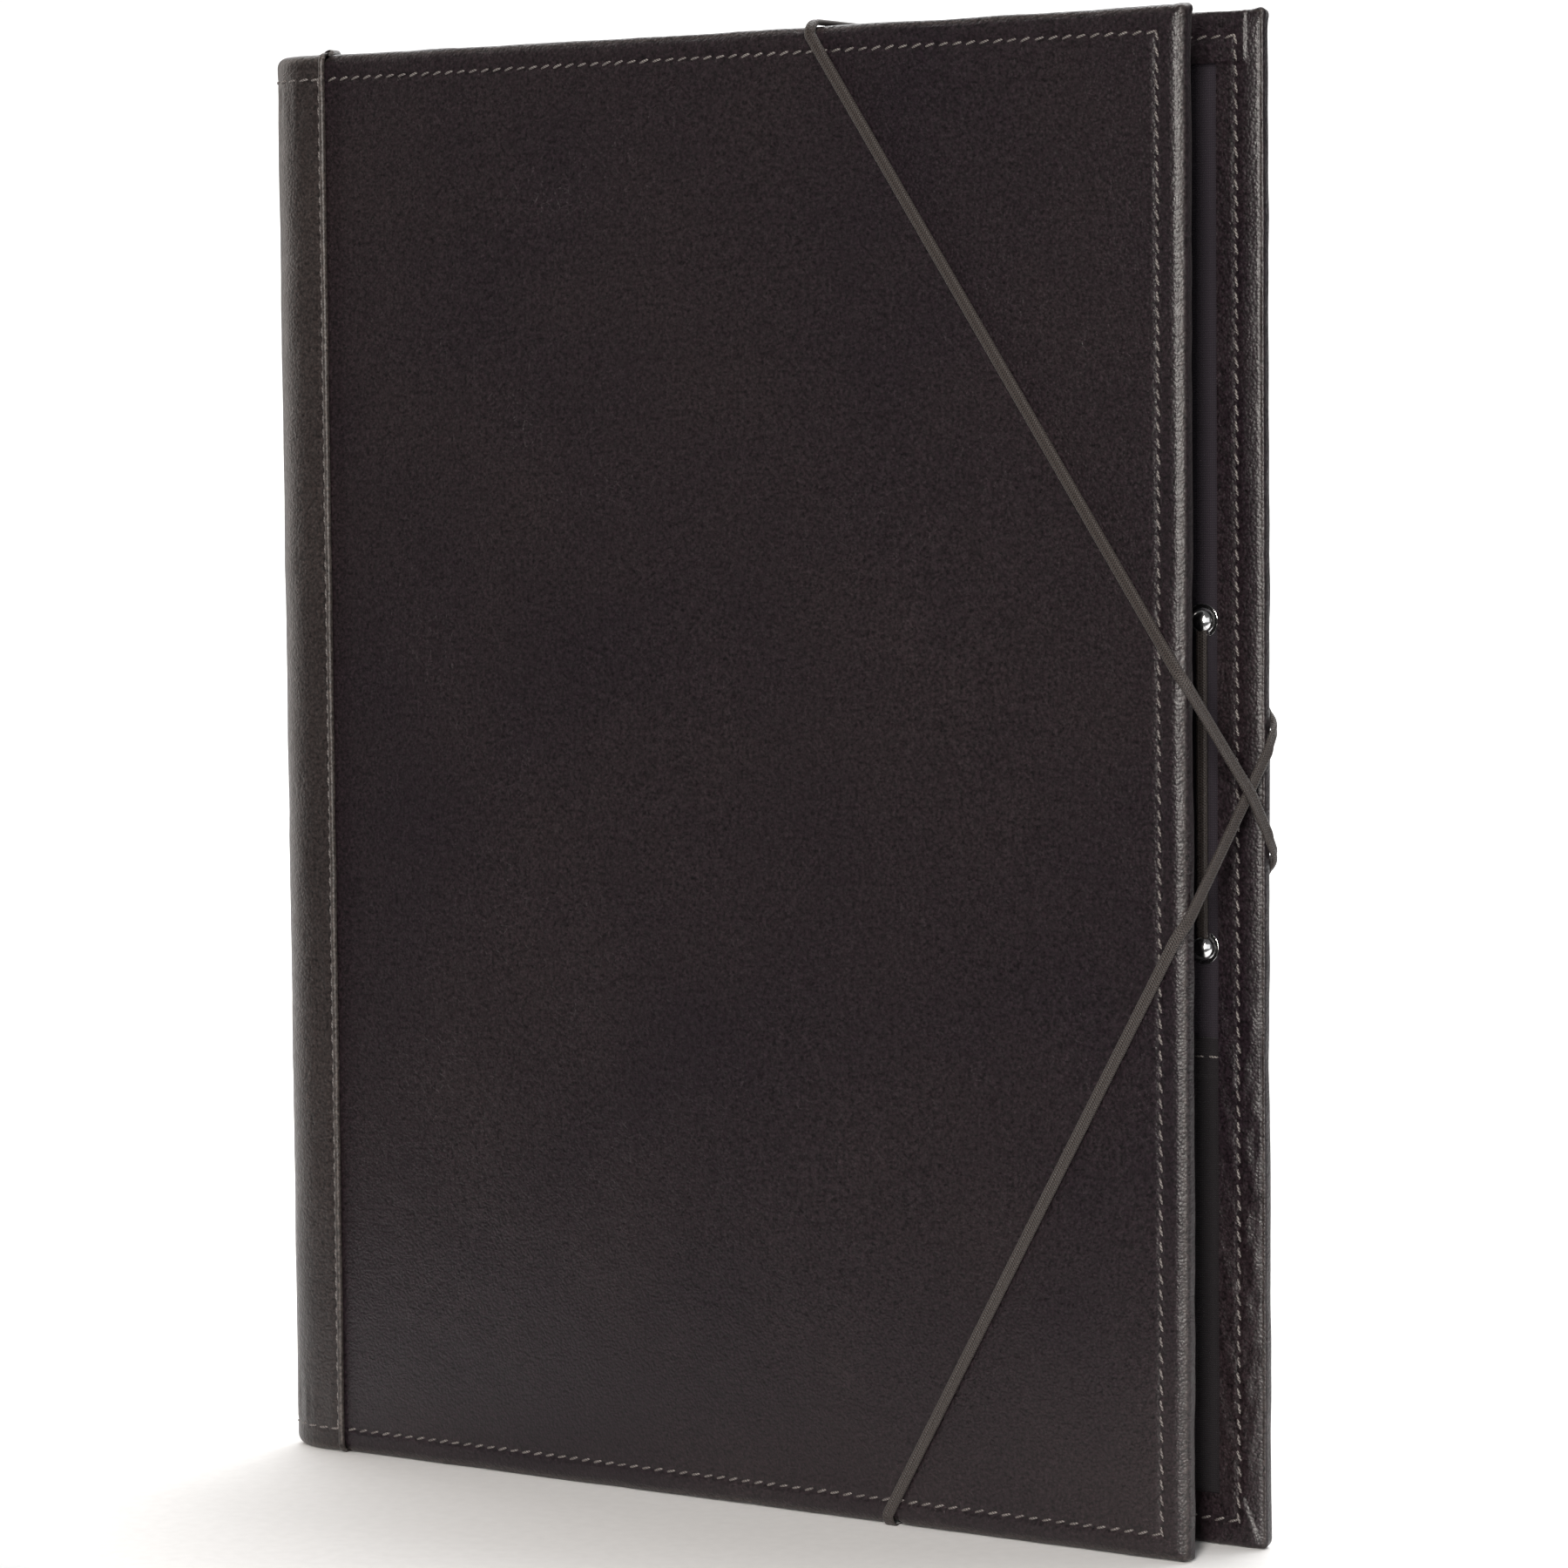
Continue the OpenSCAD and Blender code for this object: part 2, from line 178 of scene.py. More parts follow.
def make_piece(name, points, faces, material, inside_out=False, wear_and_highlight=None, uv=None, sharp=50):
    """A smooth object with its place in its mesh. The per-point edge value is how rubbed each point is, and
    how much painted highlight it gets.
    """
    if inside_out:
        faces = [tuple(face)[::-1] for face in faces]
    mesh = bpy.data.meshes.new(name)
    mesh.from_pydata([tuple(p) for p in points], [], [tuple(face) for face in faces])
    if wear_and_highlight is not None:
        layer = mesh.attributes.new("wear_and_highlight", "FLOAT", "POINT")
        layer.data.foreach_set("value", np.asarray(wear_and_highlight, np.float32).ravel())
    if uv is not None:
        layer = mesh.uv_layers.new(name="along")
        corner = np.zeros(len(mesh.loops), np.int32)
        mesh.loops.foreach_get("vertex_index", corner)
        layer.data.foreach_set("uv", np.asarray(uv, np.float32)[corner].ravel())
    mesh.materials.append(material)
    mesh.shade_smooth()
    mesh.set_sharp_from_angle(angle=math.radians(sharp))
    piece = bpy.data.objects.new(name, mesh)
    bpy.context.scene.collection.objects.link(piece)
    return piece


def settle(piece, sharp=50):
    """Turns the piece's modifiers into plain mesh, and removes them."""
    bpy.context.view_layer.update()
    graph = bpy.context.evaluated_depsgraph_get()
    mesh = bpy.data.meshes.new_from_object(
        piece.evaluated_get(graph), preserve_all_data_layers=True, depsgraph=graph
    )
    piece.modifiers.clear()
    piece.data = mesh
    mesh.set_sharp_from_angle(angle=math.radians(sharp))
    return piece


def thicken(piece, thickness):
    """Gives an open skin its thickness, inwards from the face that shows."""
    wall = piece.modifiers.new("thickness", "SOLIDIFY")
    wall.thickness = thickness * MM
    wall.offset = -1
    return settle(piece)


def cut_out(piece, cutter, sharp=50):
    """Takes the cutter's shape out of the piece, and removes the cutter."""
    cut = piece.modifiers.new("cut", "BOOLEAN")
    cut.operation = "DIFFERENCE"
    cut.solver = "EXACT"
    cut.object = cutter
    settle(piece, sharp)
    bpy.data.objects.remove(cutter)
    return piece


# %% [markdown]
# ## Finishes
# Each finish is a small network of nodes that reads Object coordinates, so the grain keeps its real size
# on every piece. Grain and weave change the bump, the gloss and the colour. The weave is darker between
# its threads. The leather's grain valleys are darker, as painted shade, and its random specks are lighter,
# partly as painted glints. Slow colour changes are what make leather look dyed by hand. The edges are
# lighter by a value that the mesh carries: this is partly wear and partly painted highlight on the arrises.

# %% Helpers that wire nodes
WAVE_PERIOD = 0.314  # a wave texture whose scale is 1 repeats after this length


def add_node(tree, kind, inputs=(), **settings):
    """Makes a node. Each input gets a value, or is joined to another node's output."""
    node = tree.nodes.new(kind)
    for key, value in settings.items():
        setattr(node, key, value)
    for key, value in dict(inputs).items():
        if isinstance(value, bpy.types.NodeSocket):
            tree.links.new(value, node.inputs[key])
        else:
            node.inputs[key].default_value = value
    return node


class Finish:
    """One material. add() makes a node, and link() joins an output to an input of the shader."""

    def __init__(self, name):
        self.material = bpy.data.materials.new(name)
        self.material.use_nodes = True
        self.tree = self.material.node_tree
        self.shader = self.tree.nodes["Principled BSDF"]

    def add(self, kind, inputs=(), **settings):
        return add_node(self.tree, kind, inputs, **settings)

    def link(self, output, key):
        self.tree.links.new(output, self.shader.inputs[key])

    def set(self, **values):
        for key, value in values.items():
            self.shader.inputs[key.replace("_", " ")].default_value = value

    def coordinates(self, which="Object", scale=(1, 1, 1), rotation=(0, 0, 0)):
        source = self.add("ShaderNodeTexCoord").outputs[which]
        mapping = self.add("ShaderNodeMapping", {"Vector": source, "Scale": scale, "Rotation": rotation})
        return mapping.outputs["Vector"]

    def noise(self, where, size, detail=3.0, roughness=0.55):
        """Noise whose features are about that size in millimetres."""
        inputs = {"Vector": where, "Scale": 1 / (size * MM), "Detail": detail, "Roughness": roughness}
        return self.add("ShaderNodeTexNoise", inputs).outputs["Fac"]

    def waves(self, where, pitch, direction="X", distortion=0.0, detail=2.0):
        """Bands that lie one pitch, in millimetres, apart."""
        inputs = {
            "Vector": where, "Scale": WAVE_PERIOD / (pitch * MM), "Distortion": distortion, "Detail": detail,
        }
        return self.add("ShaderNodeTexWave", inputs, bands_direction=direction).outputs["Fac"]

    def levels(self, value, low, high, to_low=0.0, to_high=1.0):
        inputs = {"Value": value, "From Min": low, "From Max": high, "To Min": to_low, "To Max": to_high}
        return self.add("ShaderNodeMapRange", inputs).outputs["Result"]

    def math(self, operation, a, b=0.0):
        return self.add("ShaderNodeMath", {0: a, 1: b}, operation=operation).outputs[0]

    def vector_math(self, operation, a, b):
        second = "Scale" if operation == "SCALE" else 1
        return self.add("ShaderNodeVectorMath", {0: a, second: b}, operation=operation).outputs[0]

    def blend(self, factor, a, b):
        """From colour a to colour b. Each is an output, or red, green and blue."""
        a, b = ((*colour, 1) if isinstance(colour, tuple) else colour for colour in (a, b))
        return self.add("ShaderNodeMix", {0: factor, 6: a, 7: b}, data_type="RGBA").outputs[2]

    def bump(self, height_value, depth, strength=1.0, under=None):
        inputs = {"Height": height_value, "Distance": depth * MM, "Strength": strength}
        if under is not None:
            inputs["Normal"] = under
        return self.add("ShaderNodeBump", inputs).outputs["Normal"]


# %% [markdown]
# ### Smooth dyed leather
# Cover leather is split calf with a fine pebble grain: small rounded cells of under a millimetre, parted
# by fine valleys, with soft dents of a few millimetres beneath, and here and there a net of fine creases
# where the hide was flexed. Voronoi patterns give the cells and the creases, and noise breaks up their
# regularity. The valleys are painted darker, as painted shade, and random specks are lighter, partly as
# painted glints. The dye is near black and a little warm, and lighter and drier round the arrises:
# partly wear, partly painted highlight.

# %% Leather finish
COVER_GRAIN = 0.65
STRIP_GRAIN = 0.7
GRAIN_DEPTH = 0.08
GRAIN_BEND = 0.9


def pebbles(skin, where, grain):
    """Coordinates that wander a little, and rounded cells on them: 1 on a cell's top, 0 in a valley."""
    warp = skin.add("ShaderNodeTexNoise", {"Vector": where, "Scale": 1 / (3 * MM), "Detail": 2.0})
    shift = skin.vector_math("SUBTRACT", warp.outputs["Color"], (0.5, 0.5, 0.5))
    bent = skin.vector_math("ADD", where, skin.vector_math("SCALE", shift, GRAIN_BEND * MM))
    inputs = {"Vector": bent, "Scale": 1 / (grain * MM), "Smoothness": 0.3}
    cells = skin.add("ShaderNodeTexVoronoi", inputs, feature="SMOOTH_F1")
    return bent, skin.levels(cells.outputs["Distance"], 0.0, 0.85, 1.0, 0.0)


def leather_finish(name, dye, faded, rubbed, grain, gloss):
    skin = Finish(name)
    where = skin.coordinates()
    bent, pebble = pebbles(skin, where, grain)
    pores = skin.noise(where, 0.3, 2.0)
    dents = skin.noise(where, 7, 3.0)
    slow = skin.noise(where, 70, 4.0, 0.6)
    creases = crease_lines(skin, bent)
    coarse = skin.bump(dents, 0.3, 0.6)
    creased = skin.bump(creases, 0.08, 0.7, coarse)
    medium = skin.bump(pebble, GRAIN_DEPTH, 0.9, creased)
    skin.link(skin.bump(pores, GRAIN_DEPTH * 0.5, 0.5, medium), "Normal")
    base = skin.blend(skin.levels(slow, 0.3, 0.7), dye, faded)
    # Lighter edge colour: partly wear, partly painted highlight along the rounded arrises.
    wear_and_highlight = skin.add("ShaderNodeAttribute", attribute_name="wear_and_highlight").outputs["Fac"]
    patchy = skin.levels(skin.noise(where, 2.5, 4.0, 0.7), 0.3, 0.7, 0.5, 1.0)
    edge_wear_and_highlight = skin.math("MULTIPLY", wear_and_highlight, patchy)
    edge = skin.blend(edge_wear_and_highlight, base, rubbed)
    # Painted shade: the grain's valleys are darker. The random specks are partly the grain's own tone and
    # partly painted glints.
    painted_valley_shade = skin.levels(pebble, 0.05, 0.6, 0.6, 1.06)
    speck = skin.levels(skin.noise(where, 0.8, 3.0, 0.75), 0.32, 0.68, 0.2, 1.95)
    shade = skin.math("MULTIPLY", painted_valley_shade, speck)
    light = skin.math("ADD", shade, skin.math("MULTIPLY", creases, 0.75))
    skin.link(skin.vector_math("SCALE", edge, light), "Base Color")
    sheen_break = skin.levels(skin.noise(where, 1.6, 3.0), 0.3, 0.7, gloss - 0.06, gloss + 0.07)
    skin.link(skin.math("ADD", sheen_break, skin.math("MULTIPLY", edge_wear_and_highlight, 0.04)), "Roughness")
    skin.set(Specular_IOR_Level=0.42, Sheen_Weight=0.02, Sheen_Roughness=0.4)
    return skin.material


def crease_lines(skin, where):
    """Thin lines that part larger cells, in patches where the hide was flexed."""
    flat = skin.add("ShaderNodeMapping", {"Vector": where, "Scale": (1.0, 1.0, 1.7)}).outputs[0]
    inputs = {"Vector": flat, "Scale": 1 / (3.2 * MM)}
    net = skin.add("ShaderNodeTexVoronoi", inputs, feature="DISTANCE_TO_EDGE")
    line = skin.levels(net.outputs["Distance"], 0.0, 0.07, 1.0, 0.0)
    patch = skin.levels(skin.noise(where, 38, 4.0, 0.65), 0.42, 0.75)
    broken = skin.levels(skin.noise(where, 2.2, 3.0, 0.7), 0.42, 0.58)
    return skin.math("MULTIPLY", line, skin.math("MULTIPLY", patch, broken))


# The rubbed colour is lighter than the dye: partly wear, partly painted highlight on the arrises.
leather = leather_finish(
    "cover_leather", dye=(0.0076, 0.0042, 0.0066), faded=(0.0125, 0.008, 0.0093),
    rubbed=(0.034, 0.027, 0.025), grain=COVER_GRAIN, gloss=0.38,
)
strip_leather = leather_finish(
    "spine_leather", dye=(0.014, 0.0102, 0.0102), faded=(0.022, 0.0165, 0.0155),
    rubbed=(0.06, 0.05, 0.045), grain=STRIP_GRAIN, gloss=0.4,
)
print("leather grain", COVER_GRAIN, "mm on the covers,", STRIP_GRAIN, "mm on the spine")


# %% [markdown]
# ### Lining cloth
# The lining is a close plain weave of dull thread, about twenty threads to the centimetre. Two sets of
# waves at right angles, one over the other in turn, make the weave, and a little sheen gives the dusty
# look that dark cloth has. The leather side never shows this sheen.

# %% Cloth finish
def cloth_finish(name, thread_colour, deep_colour, pitch=0.5, sheen=0.1):
    cloth = Finish(name)
    where = cloth.coordinates()
    across, along = [cloth.waves(where, pitch, way, distortion=0.6, detail=1.0) for way in "XZ"]
    weave = cloth.math("MULTIPLY", across, along)
    fuzz = cloth.noise(where, 0.9, 4.0, 0.7)
    slow = cloth.noise(where, 40, 3.0)
    under = cloth.bump(fuzz, 0.12, 0.5)
    cloth.link(cloth.bump(weave, 0.12, 0.8, under), "Normal")
    mottled = cloth.blend(cloth.levels(slow, 0.35, 0.65), deep_colour, thread_colour)
    cloth.link(cloth.blend(cloth.levels(weave, 0.0, 0.7), deep_colour, mottled), "Base Color")
    cloth.link(cloth.levels(fuzz, 0.3, 0.7, 0.78, 0.95), "Roughness")
    cloth.set(Specular_IOR_Level=0.2, Sheen_Weight=sheen, Sheen_Roughness=0.5)
    return cloth.material


lining_cloth = cloth_finish("lining_cloth", (0.027, 0.021, 0.028), (0.0135, 0.0105, 0.015))
# The pocket has the lining's weave in colours about half as bright: painted shade for the pocket, which lies
# low inside the rear cover.
pocket_cloth_painted_shade = cloth_finish("pocket_cloth_painted_shade", (0.012, 0.0095, 0.0115), (0.006, 0.0047, 0.006), 0.45)


# %% [markdown]
# ### Thread, elastic, metal, board and foam
# Waxed thread is two plies twisted together, so slanting bands show on each stitch. The elastic is a
# braid over rubber cords: its pattern follows the band, so it reads the band's own UV, in metres. The
# eyelets are bright plated, with fine rubbing marks.

# %% The other finishes
def thread_finish():
    thread = Finish("waxed_thread")
    where = thread.coordinates(rotation=(0.6, 0.6, 0.6))
    plies = thread.waves(where, 0.45)
    thread.link(thread.bump(plies, 0.1, 0.8), "Normal")
    slow = thread.levels(thread.noise(where, 4, 3.0), 0.3, 0.7)
    shade = thread.blend(slow, (0.1, 0.086, 0.083), (0.21, 0.19, 0.18))
    twisted = thread.blend(thread.levels(plies, 0.0, 0.6), (0.03, 0.025, 0.024), shade)
    thread.link(twisted, "Base Color")
    thread.link(thread.levels(slow, 0, 1, 0.42, 0.6), "Roughness")
    return thread.material


def elastic_finish():
    band = Finish("braided_elastic")
    uv = band.add("ShaderNodeUVMap", uv_map="along").outputs[0]
    turns = []
    for angle in (0.6, -0.6):
        turned_uv = band.add("ShaderNodeMapping", {"Vector": uv, "Rotation": (0, 0, angle)}).outputs[0]
        turns.append(band.waves(turned_uv, 0.5, "Y", distortion=0.4))
    braid = band.math("MAXIMUM", turns[0], turns[1])
    fuzz = band.noise(band.coordinates(), 0.5, 4.0, 0.7)
    band.link(band.bump(fuzz, 0.08, 0.5, band.bump(braid, 0.14, 0.9)), "Normal")
    yarn = band.blend(band.levels(braid, 0.3, 1.0), (0.008, 0.0055, 0.005), (0.036, 0.027, 0.0235))
    band.link(yarn, "Base Color")
    band.link(band.levels(fuzz, 0.3, 0.7, 0.42, 0.6), "Roughness")
    band.set(Sheen_Weight=0.05, Sheen_Roughness=0.4)
    return band.material


def metal_finish():
    metal = Finish("bright_plate")
    where = metal.coordinates()
    rubbed = metal.noise(where, 0.4, 4.0, 0.7)
    metal.link(metal.bump(rubbed, 0.012, 0.4), "Normal")
    plate = metal.blend(metal.levels(rubbed, 0.35, 0.7), (0.8, 0.8, 0.81), (0.9, 0.9, 0.91))
    metal.link(plate, "Base Color")
    metal.link(metal.levels(rubbed, 0.3, 0.7, 0.12, 0.2), "Roughness")
    metal.set(Metallic=1.0)
    return metal.material


def plain_finish(name, light, dark, size, roughness):
    """Board or foam: it is all inside, and shows only through a bore or a cut."""
    inner = Finish(name)
    where = inner.coordinates()
    speck = inner.noise(where, size, 5.0, 0.7)
    inner.link(inner.blend(inner.levels(speck, 0.3, 0.7), dark, light), "Base Color")
    inner.link(inner.bump(speck, 0.1, 0.6), "Normal")
    inner.link(inner.levels(speck, 0.3, 0.7, roughness - 0.05, roughness + 0.05), "Roughness")
    return inner.material


thread_wax = thread_finish()
elastic_braid = elastic_finish()
bright_metal = metal_finish()
grey_board = plain_finish("grey_board", (0.36, 0.31, 0.25), (0.24, 0.2, 0.16), 0.8, 0.85)
soft_foam = plain_finish("soft_foam", (0.72, 0.72, 0.68), (0.58, 0.58, 0.54), 0.5, 0.9)
for node, material in (
    ("front_board", grey_board), ("rear_board", grey_board), ("spine_board", grey_board),
    ("front_padding", soft_foam), ("rear_padding", soft_foam),
):
    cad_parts[node].data.materials.clear()
    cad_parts[node].data.materials.append(material)
print("finishes", len(bpy.data.materials))

# %% [markdown]
# ## The leather of each cover
# One skin covers the outside, turns round the board's edges and comes back inside as a hem. It could be
# bent from a flat grid, but a rounded box shows better what matters: every point starts on a sharp box,
# and is pulled onto a rounding about a smaller box inside it. The same pull gives the edges their soft
# arris, and also the direction in which padding, ripples and stitch channels push the skin.

# %% The rounding of a cover
EDGE_R = 2.0  # the outer arris
HEM_R = 1.2  # the inner arris, where the skin turns in to the hem
ROW_IN = 5.5  # from the top and the bottom to the stitches
FORE_ROW_IN = 6.2  # from the fore-edge to the stitches
SKIN_T = 0.95


def rounded(x, depth, z, width):
    """The place and the outward direction of points given on the sharp box."""
    radius = np.interp(depth, [EDGE_R, cover_t - HEM_R], [EDGE_R, HEM_R])
    core_x = np.minimum(x, width - radius)
    core_d = np.clip(depth, EDGE_R, cover_t - HEM_R)
    core_z = np.clip(z, radius, height - radius)
    core = np.stack([core_x, core_d, core_z], -1)
    out = np.stack([x, depth, z], -1) - core
    out = out / np.maximum(np.linalg.norm(out, axis=-1, keepdims=True), 1e-9)
    return core + out * radius[..., None], out


def row_distance(x, z, width):
    """How far a point is from the row of stitches along the top, fore-edge and bottom."""
    end = width - FORE_ROW_IN
    top = np.hypot(np.maximum(x - end, 0), z - (height - ROW_IN))
    bottom = np.hypot(np.maximum(x - end, 0), z - ROW_IN)
    beyond = np.maximum(np.maximum(ROW_IN - z, z - (height - ROW_IN)), 0)
    return np.minimum(np.minimum(top, bottom), np.hypot(x - end, beyond))


# %% Where the hem's corners lap, and where it puckers
LAP_T = 0.35
PUCKER = {"front": 0.08, "rear": 0.2}
POCKET_SIDE = (96, 126)  # the heights between which the puckers beside the pocket fade out
BAND_TOP_X = widths["front"] - 90
BAND_BOTTOM_X = widths["front"] - 73
PRESS = 0.78  # how far the band presses into the bottom edges
EYELET_ZONE = (26, 42)  # from mid-height, where the grid is fine for the eyelets


def hem_rise(side, x, z):
    """How far the hem stands over its plain face."""
    width = widths[side]
    inner = width - hem_w
    into_corner = ramp(inner - 8, inner + 0.5, x)
    top_lap = ramp(height - hem_w - 0.3, height - hem_w + 0.1, z) * (1 - ramp(width - 4.1, width - 3.6, x))
    slant = width - 0.4 - 4.4 * np.clip(z / hem_w, 0, 1)
    bottom_lap = (1 - ramp(hem_w - 0.1, hem_w + 0.3, z)) * (1 - ramp(slant - 0.7, slant + 0.1, x))
    rise = LAP_T * into_corner * np.maximum(top_lap, bottom_lap)
    beside_pocket = ramp(hem_w + 1, hem_w + 8, z) * (1 - ramp(*POCKET_SIDE, z))
    beside_pocket = beside_pocket * ramp(inner - 2, inner + 1, x)
    folds = ripple(x * 0.55, z, 8.5, 31) + 0.5 * ripple(x, z * 0.8, 4.2, 32)
    rise = rise + PUCKER[side] * folds * beside_pocket * ramp(0.5, 3, width - x)
    rise = rise + 0.05 * ripple(x, z, 19, 33) - 0.2 * bell(row_distance(x, z, width), 0.75)
    return rise - 0.4 * np.clip((4.2 - (width - x)) / 3, 0, 1.1) ** 2


def edge_shift(side, x, z):
    """How far the turned edges stand in or out, which gives the cover its hand-made outline."""
    seed = 40 if side == "front" else 50
    ear = bell(np.hypot(widths[side] - x, height - z), 2.0)
    return 0.15 * ripple(x, z, 46, seed) + 0.07 * ripple(x, z, 13, seed + 1) - 0.07 + 0.55 * ear


def face_rise(side, x, z):
    """How far the outer face stands over its plain level: padding, ripples and the stitch channel."""
    width = widths[side]
    seed = 60 if side == "front" else 70
    inset = np.minimum(np.minimum(width - x, z), height - z)
    free = ramp(strip_lap - 1, strip_lap + 14, x)
    under_fold = 0.75 * np.clip((10.5 - x) / 4, 0, 1) ** 1.6
    edge_fall = 0.2 * np.clip((3.4 - inset) / 1.7, 0, 1.2) ** 2
    slow = 0.11 * ripple(x, z, 75, seed) + 0.05 * ripple(x, z, 24, seed + 1)
    roll = 0.1 * bell(inset - 3.0, 1.3)
    channel = 0.26 * bell(row_distance(x, z, width), 0.7) * ramp(strip_lap - 1.5, strip_lap, x)
    return slow * free + roll * free - channel - under_fold - edge_fall


# %% Building one cover's skin
def cover_lines(side):
    width = widths[side]
    lower = 1.2 if side == "rear" else 3.0
    x = graded(
        (cover_start, 21, 1.2), (21, BAND_TOP_X - 5, 5), (BAND_TOP_X - 5, BAND_BOTTOM_X + 5, 0.9),
        (BAND_BOTTOM_X + 5, width - 22, 4.5),
        (width - 22, width - 12.5, 1.2), (width - 12.5, width - EDGE_R, 0.42),
        (width - EDGE_R, width - HEM_R, 0.4), (width - HEM_R, width, 0.3),
    )
    ends = [(0, HEM_R, 0.3), (HEM_R, EDGE_R, 0.4), (EDGE_R, 12.5, 0.42)]
    flipped = [(height - b, height - a, step) for a, b, step in ends]
    near, far = EYELET_ZONE
    z = graded(
        *ends, (12.5, height / 2 - far, lower), (height / 2 - far, height / 2 - near, 1.2),
        (height / 2 - near, height / 2 + near, 3), (height / 2 + near, height / 2 + far, 1.2),
        (height / 2 + far, height - 12.5, 3), *flipped,
    )
    depth = graded((0, EDGE_R, 0.5), (EDGE_R, cover_t - HEM_R, 0.65), (cover_t - HEM_R, cover_t, 0.3))
    return x, depth, z


def cover_surfaces(side):
    """The five sides of the sharp box that the skin lies on, each with the faces that it keeps."""
    width = widths[side]
    x, depth, z = cover_lines(side)
    outer = np.meshgrid(x, z, indexing="ij")
    yield outer[0], np.zeros_like(outer[0]), outer[1], None
    fore = np.meshgrid(depth, z, indexing="ij")
    yield np.full_like(fore[0], width), fore[0], fore[1], None
    top = np.meshgrid(x, depth, indexing="ij")
    yield top[0], top[1], np.full_like(top[0], height), None
    bottom = np.meshgrid(depth, x, indexing="ij")
    yield bottom[1], bottom[0], np.zeros_like(bottom[0]), None
    hem = np.meshgrid(z, x, indexing="ij")
    mid_z = (z[:-1] + z[1:]) / 2
    mid_x = (x[:-1] + x[1:]) / 2
    keep_z, keep_x = np.meshgrid(mid_z, mid_x, indexing="ij")
    keep = (keep_x > width - hem_w) | (keep_z < hem_w) | (keep_z > height - hem_w)
    yield hem[1], np.full_like(hem[0], cover_t), hem[0], keep.ravel()


def shaped(side, x, depth, z):
    """The skin's real points in one cover, and how far round an arris each one lies. The lighter colour there
    is partly wear and partly painted highlight.
    """
    width = widths[side]
    point, out = rounded(x, depth, z, width)
    inset = np.minimum(np.minimum(width - x, z), height - z)
    edge_side = 1 - ramp(0.3, 5.5, inset)
    rise = edge_shift(side, x, z) * edge_side
    rise = rise + face_rise(side, x, z) * ramp(0.2, 0.9, -out[..., 1])
    rise = rise + hem_rise(side, x, z) * ramp(0.2, 0.9, out[..., 1])
    point = point + out * rise[..., None]
    under_strip = 1 - ramp(strip_lap - 0.6, strip_lap + 0.6, x)
    near_top = 1 - ramp(0, 4, height - z)
    near_bottom = 1 - ramp(0, 4, z)
    dent = PRESS * np.exp(-(((x - BAND_BOTTOM_X) / 2.3) ** 4)) * (1 - ramp(0, 3.4, z))
    point[..., 2] += (near_bottom - near_top) * under_strip * 0.85 + dent
    # Lighter colour round the arrises: partly wear, partly painted highlight.
    rubbed = np.clip((1 - np.abs(out).max(-1)) / 0.29, 0, 1)
    return point, rubbed


def cover_skin(side):
    points, faces, wear_and_highlight, count = [], [], [], 0
    for x, depth, z, keep in cover_surfaces(side):
        point, rubbed = shaped(side, x, depth, z)
        quads = grid_faces(*x.shape, count)
        faces.append(quads if keep is None else quads[keep])
        points.append(point.reshape(-1, 3))
        wear_and_highlight.append(rubbed.ravel())
        count += x.size
    points, wear_and_highlight, faces = np.concatenate(points), np.concatenate(wear_and_highlight), np.concatenate(faces)
    _, first, same = np.unique(np.round(points, 3), axis=0, return_index=True, return_inverse=True)
    faces = same.ravel()[faces]
    used, faces = np.unique(faces, return_inverse=True)
    faces = faces.reshape(-1, 4)
    points, wear_and_highlight = points[first][used], wear_and_highlight[first][used]
    piece = make_piece(
        side + "_cover_leather", placed(side, points), faces, leather, side == "rear", wear_and_highlight
    )
    return thicken(piece, SKIN_T)


# %% [markdown]
# ### Holes for the eyelets
# The punch cuts through every layer at once. The same punch is used here: two short cylinders, taken
# out of the leather and of the lining.

# %% The punch
eyelets = [np.add(*corners(n)) / 2 for n in ("eyelet_lower", "eyelet_upper")]
EYELET_X = eyelets[0][0] - spine_x
EYELET_Z = [centre[2] for centre in eyelets]
BORE_R = 1.6
BARREL_R = 2.2
RIM_R = 3.6  # the flange inside and the washer outside


def punched(piece, radius=BARREL_R + 0.1, sides=40):
    points, faces = [], []
    for z in EYELET_Z:
        faces += prism_faces(sides, len(points))
        for depth in (-2, cover_t + 2):
            for k in range(sides):
                angle = 2 * math.pi * k / sides
                points.append((EYELET_X + radius * math.cos(angle), depth, z + radius * math.sin(angle)))
    return cut_out(piece, make_piece("punch", placed("rear", points), faces, leather))


# %% The two leather skins
front_skin = cover_skin("front")
rear_skin = punched(cover_skin("rear"))
for skin, side in ((front_skin, "front"), (rear_skin, "rear")):
    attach(skin, side + "_cover")
    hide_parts(side + "_leather")
    print(skin.name, len(skin.data.polygons), "faces")

# %% [markdown]
# ## The spine leather
# A separate strip wraps the spine and laps onto both covers. Its raw edge is folded under, which makes
# the ridge along the seam. The strip is one piece, but it crosses two folds, so it is made as two halves
# that meet on the middle of the spine. Each half bends across one fold. Its section is drawn from above
# as an outer path and an inner path, and the strip turns in from one to the other at its top and bottom.
# The corner is wider than the fold itself, because the leather lies on the padding without a crease.

# %% The strip's two paths, as (x, depth)
FOLD_R = 6.0
ROUND_X = 12.0  # the corner's half widths
ROUND_DEPTH = 7.4
RIDGE_R = 0.72
SEAM_IN = 1.5  # from the folded edge to the seam
SEAM_DIP = ((0.0, -0.76), (-0.4, -0.7), (-0.9, -0.84), (-1.6, -0.94), (-2.6, -strip_t))
STRIP_HEM = hem_w + 1.2
STRIP_SKIN_T = 0.68
inner_face = cover_t + 0.75
TURN_X = 8.1
TURN_R = 4.0


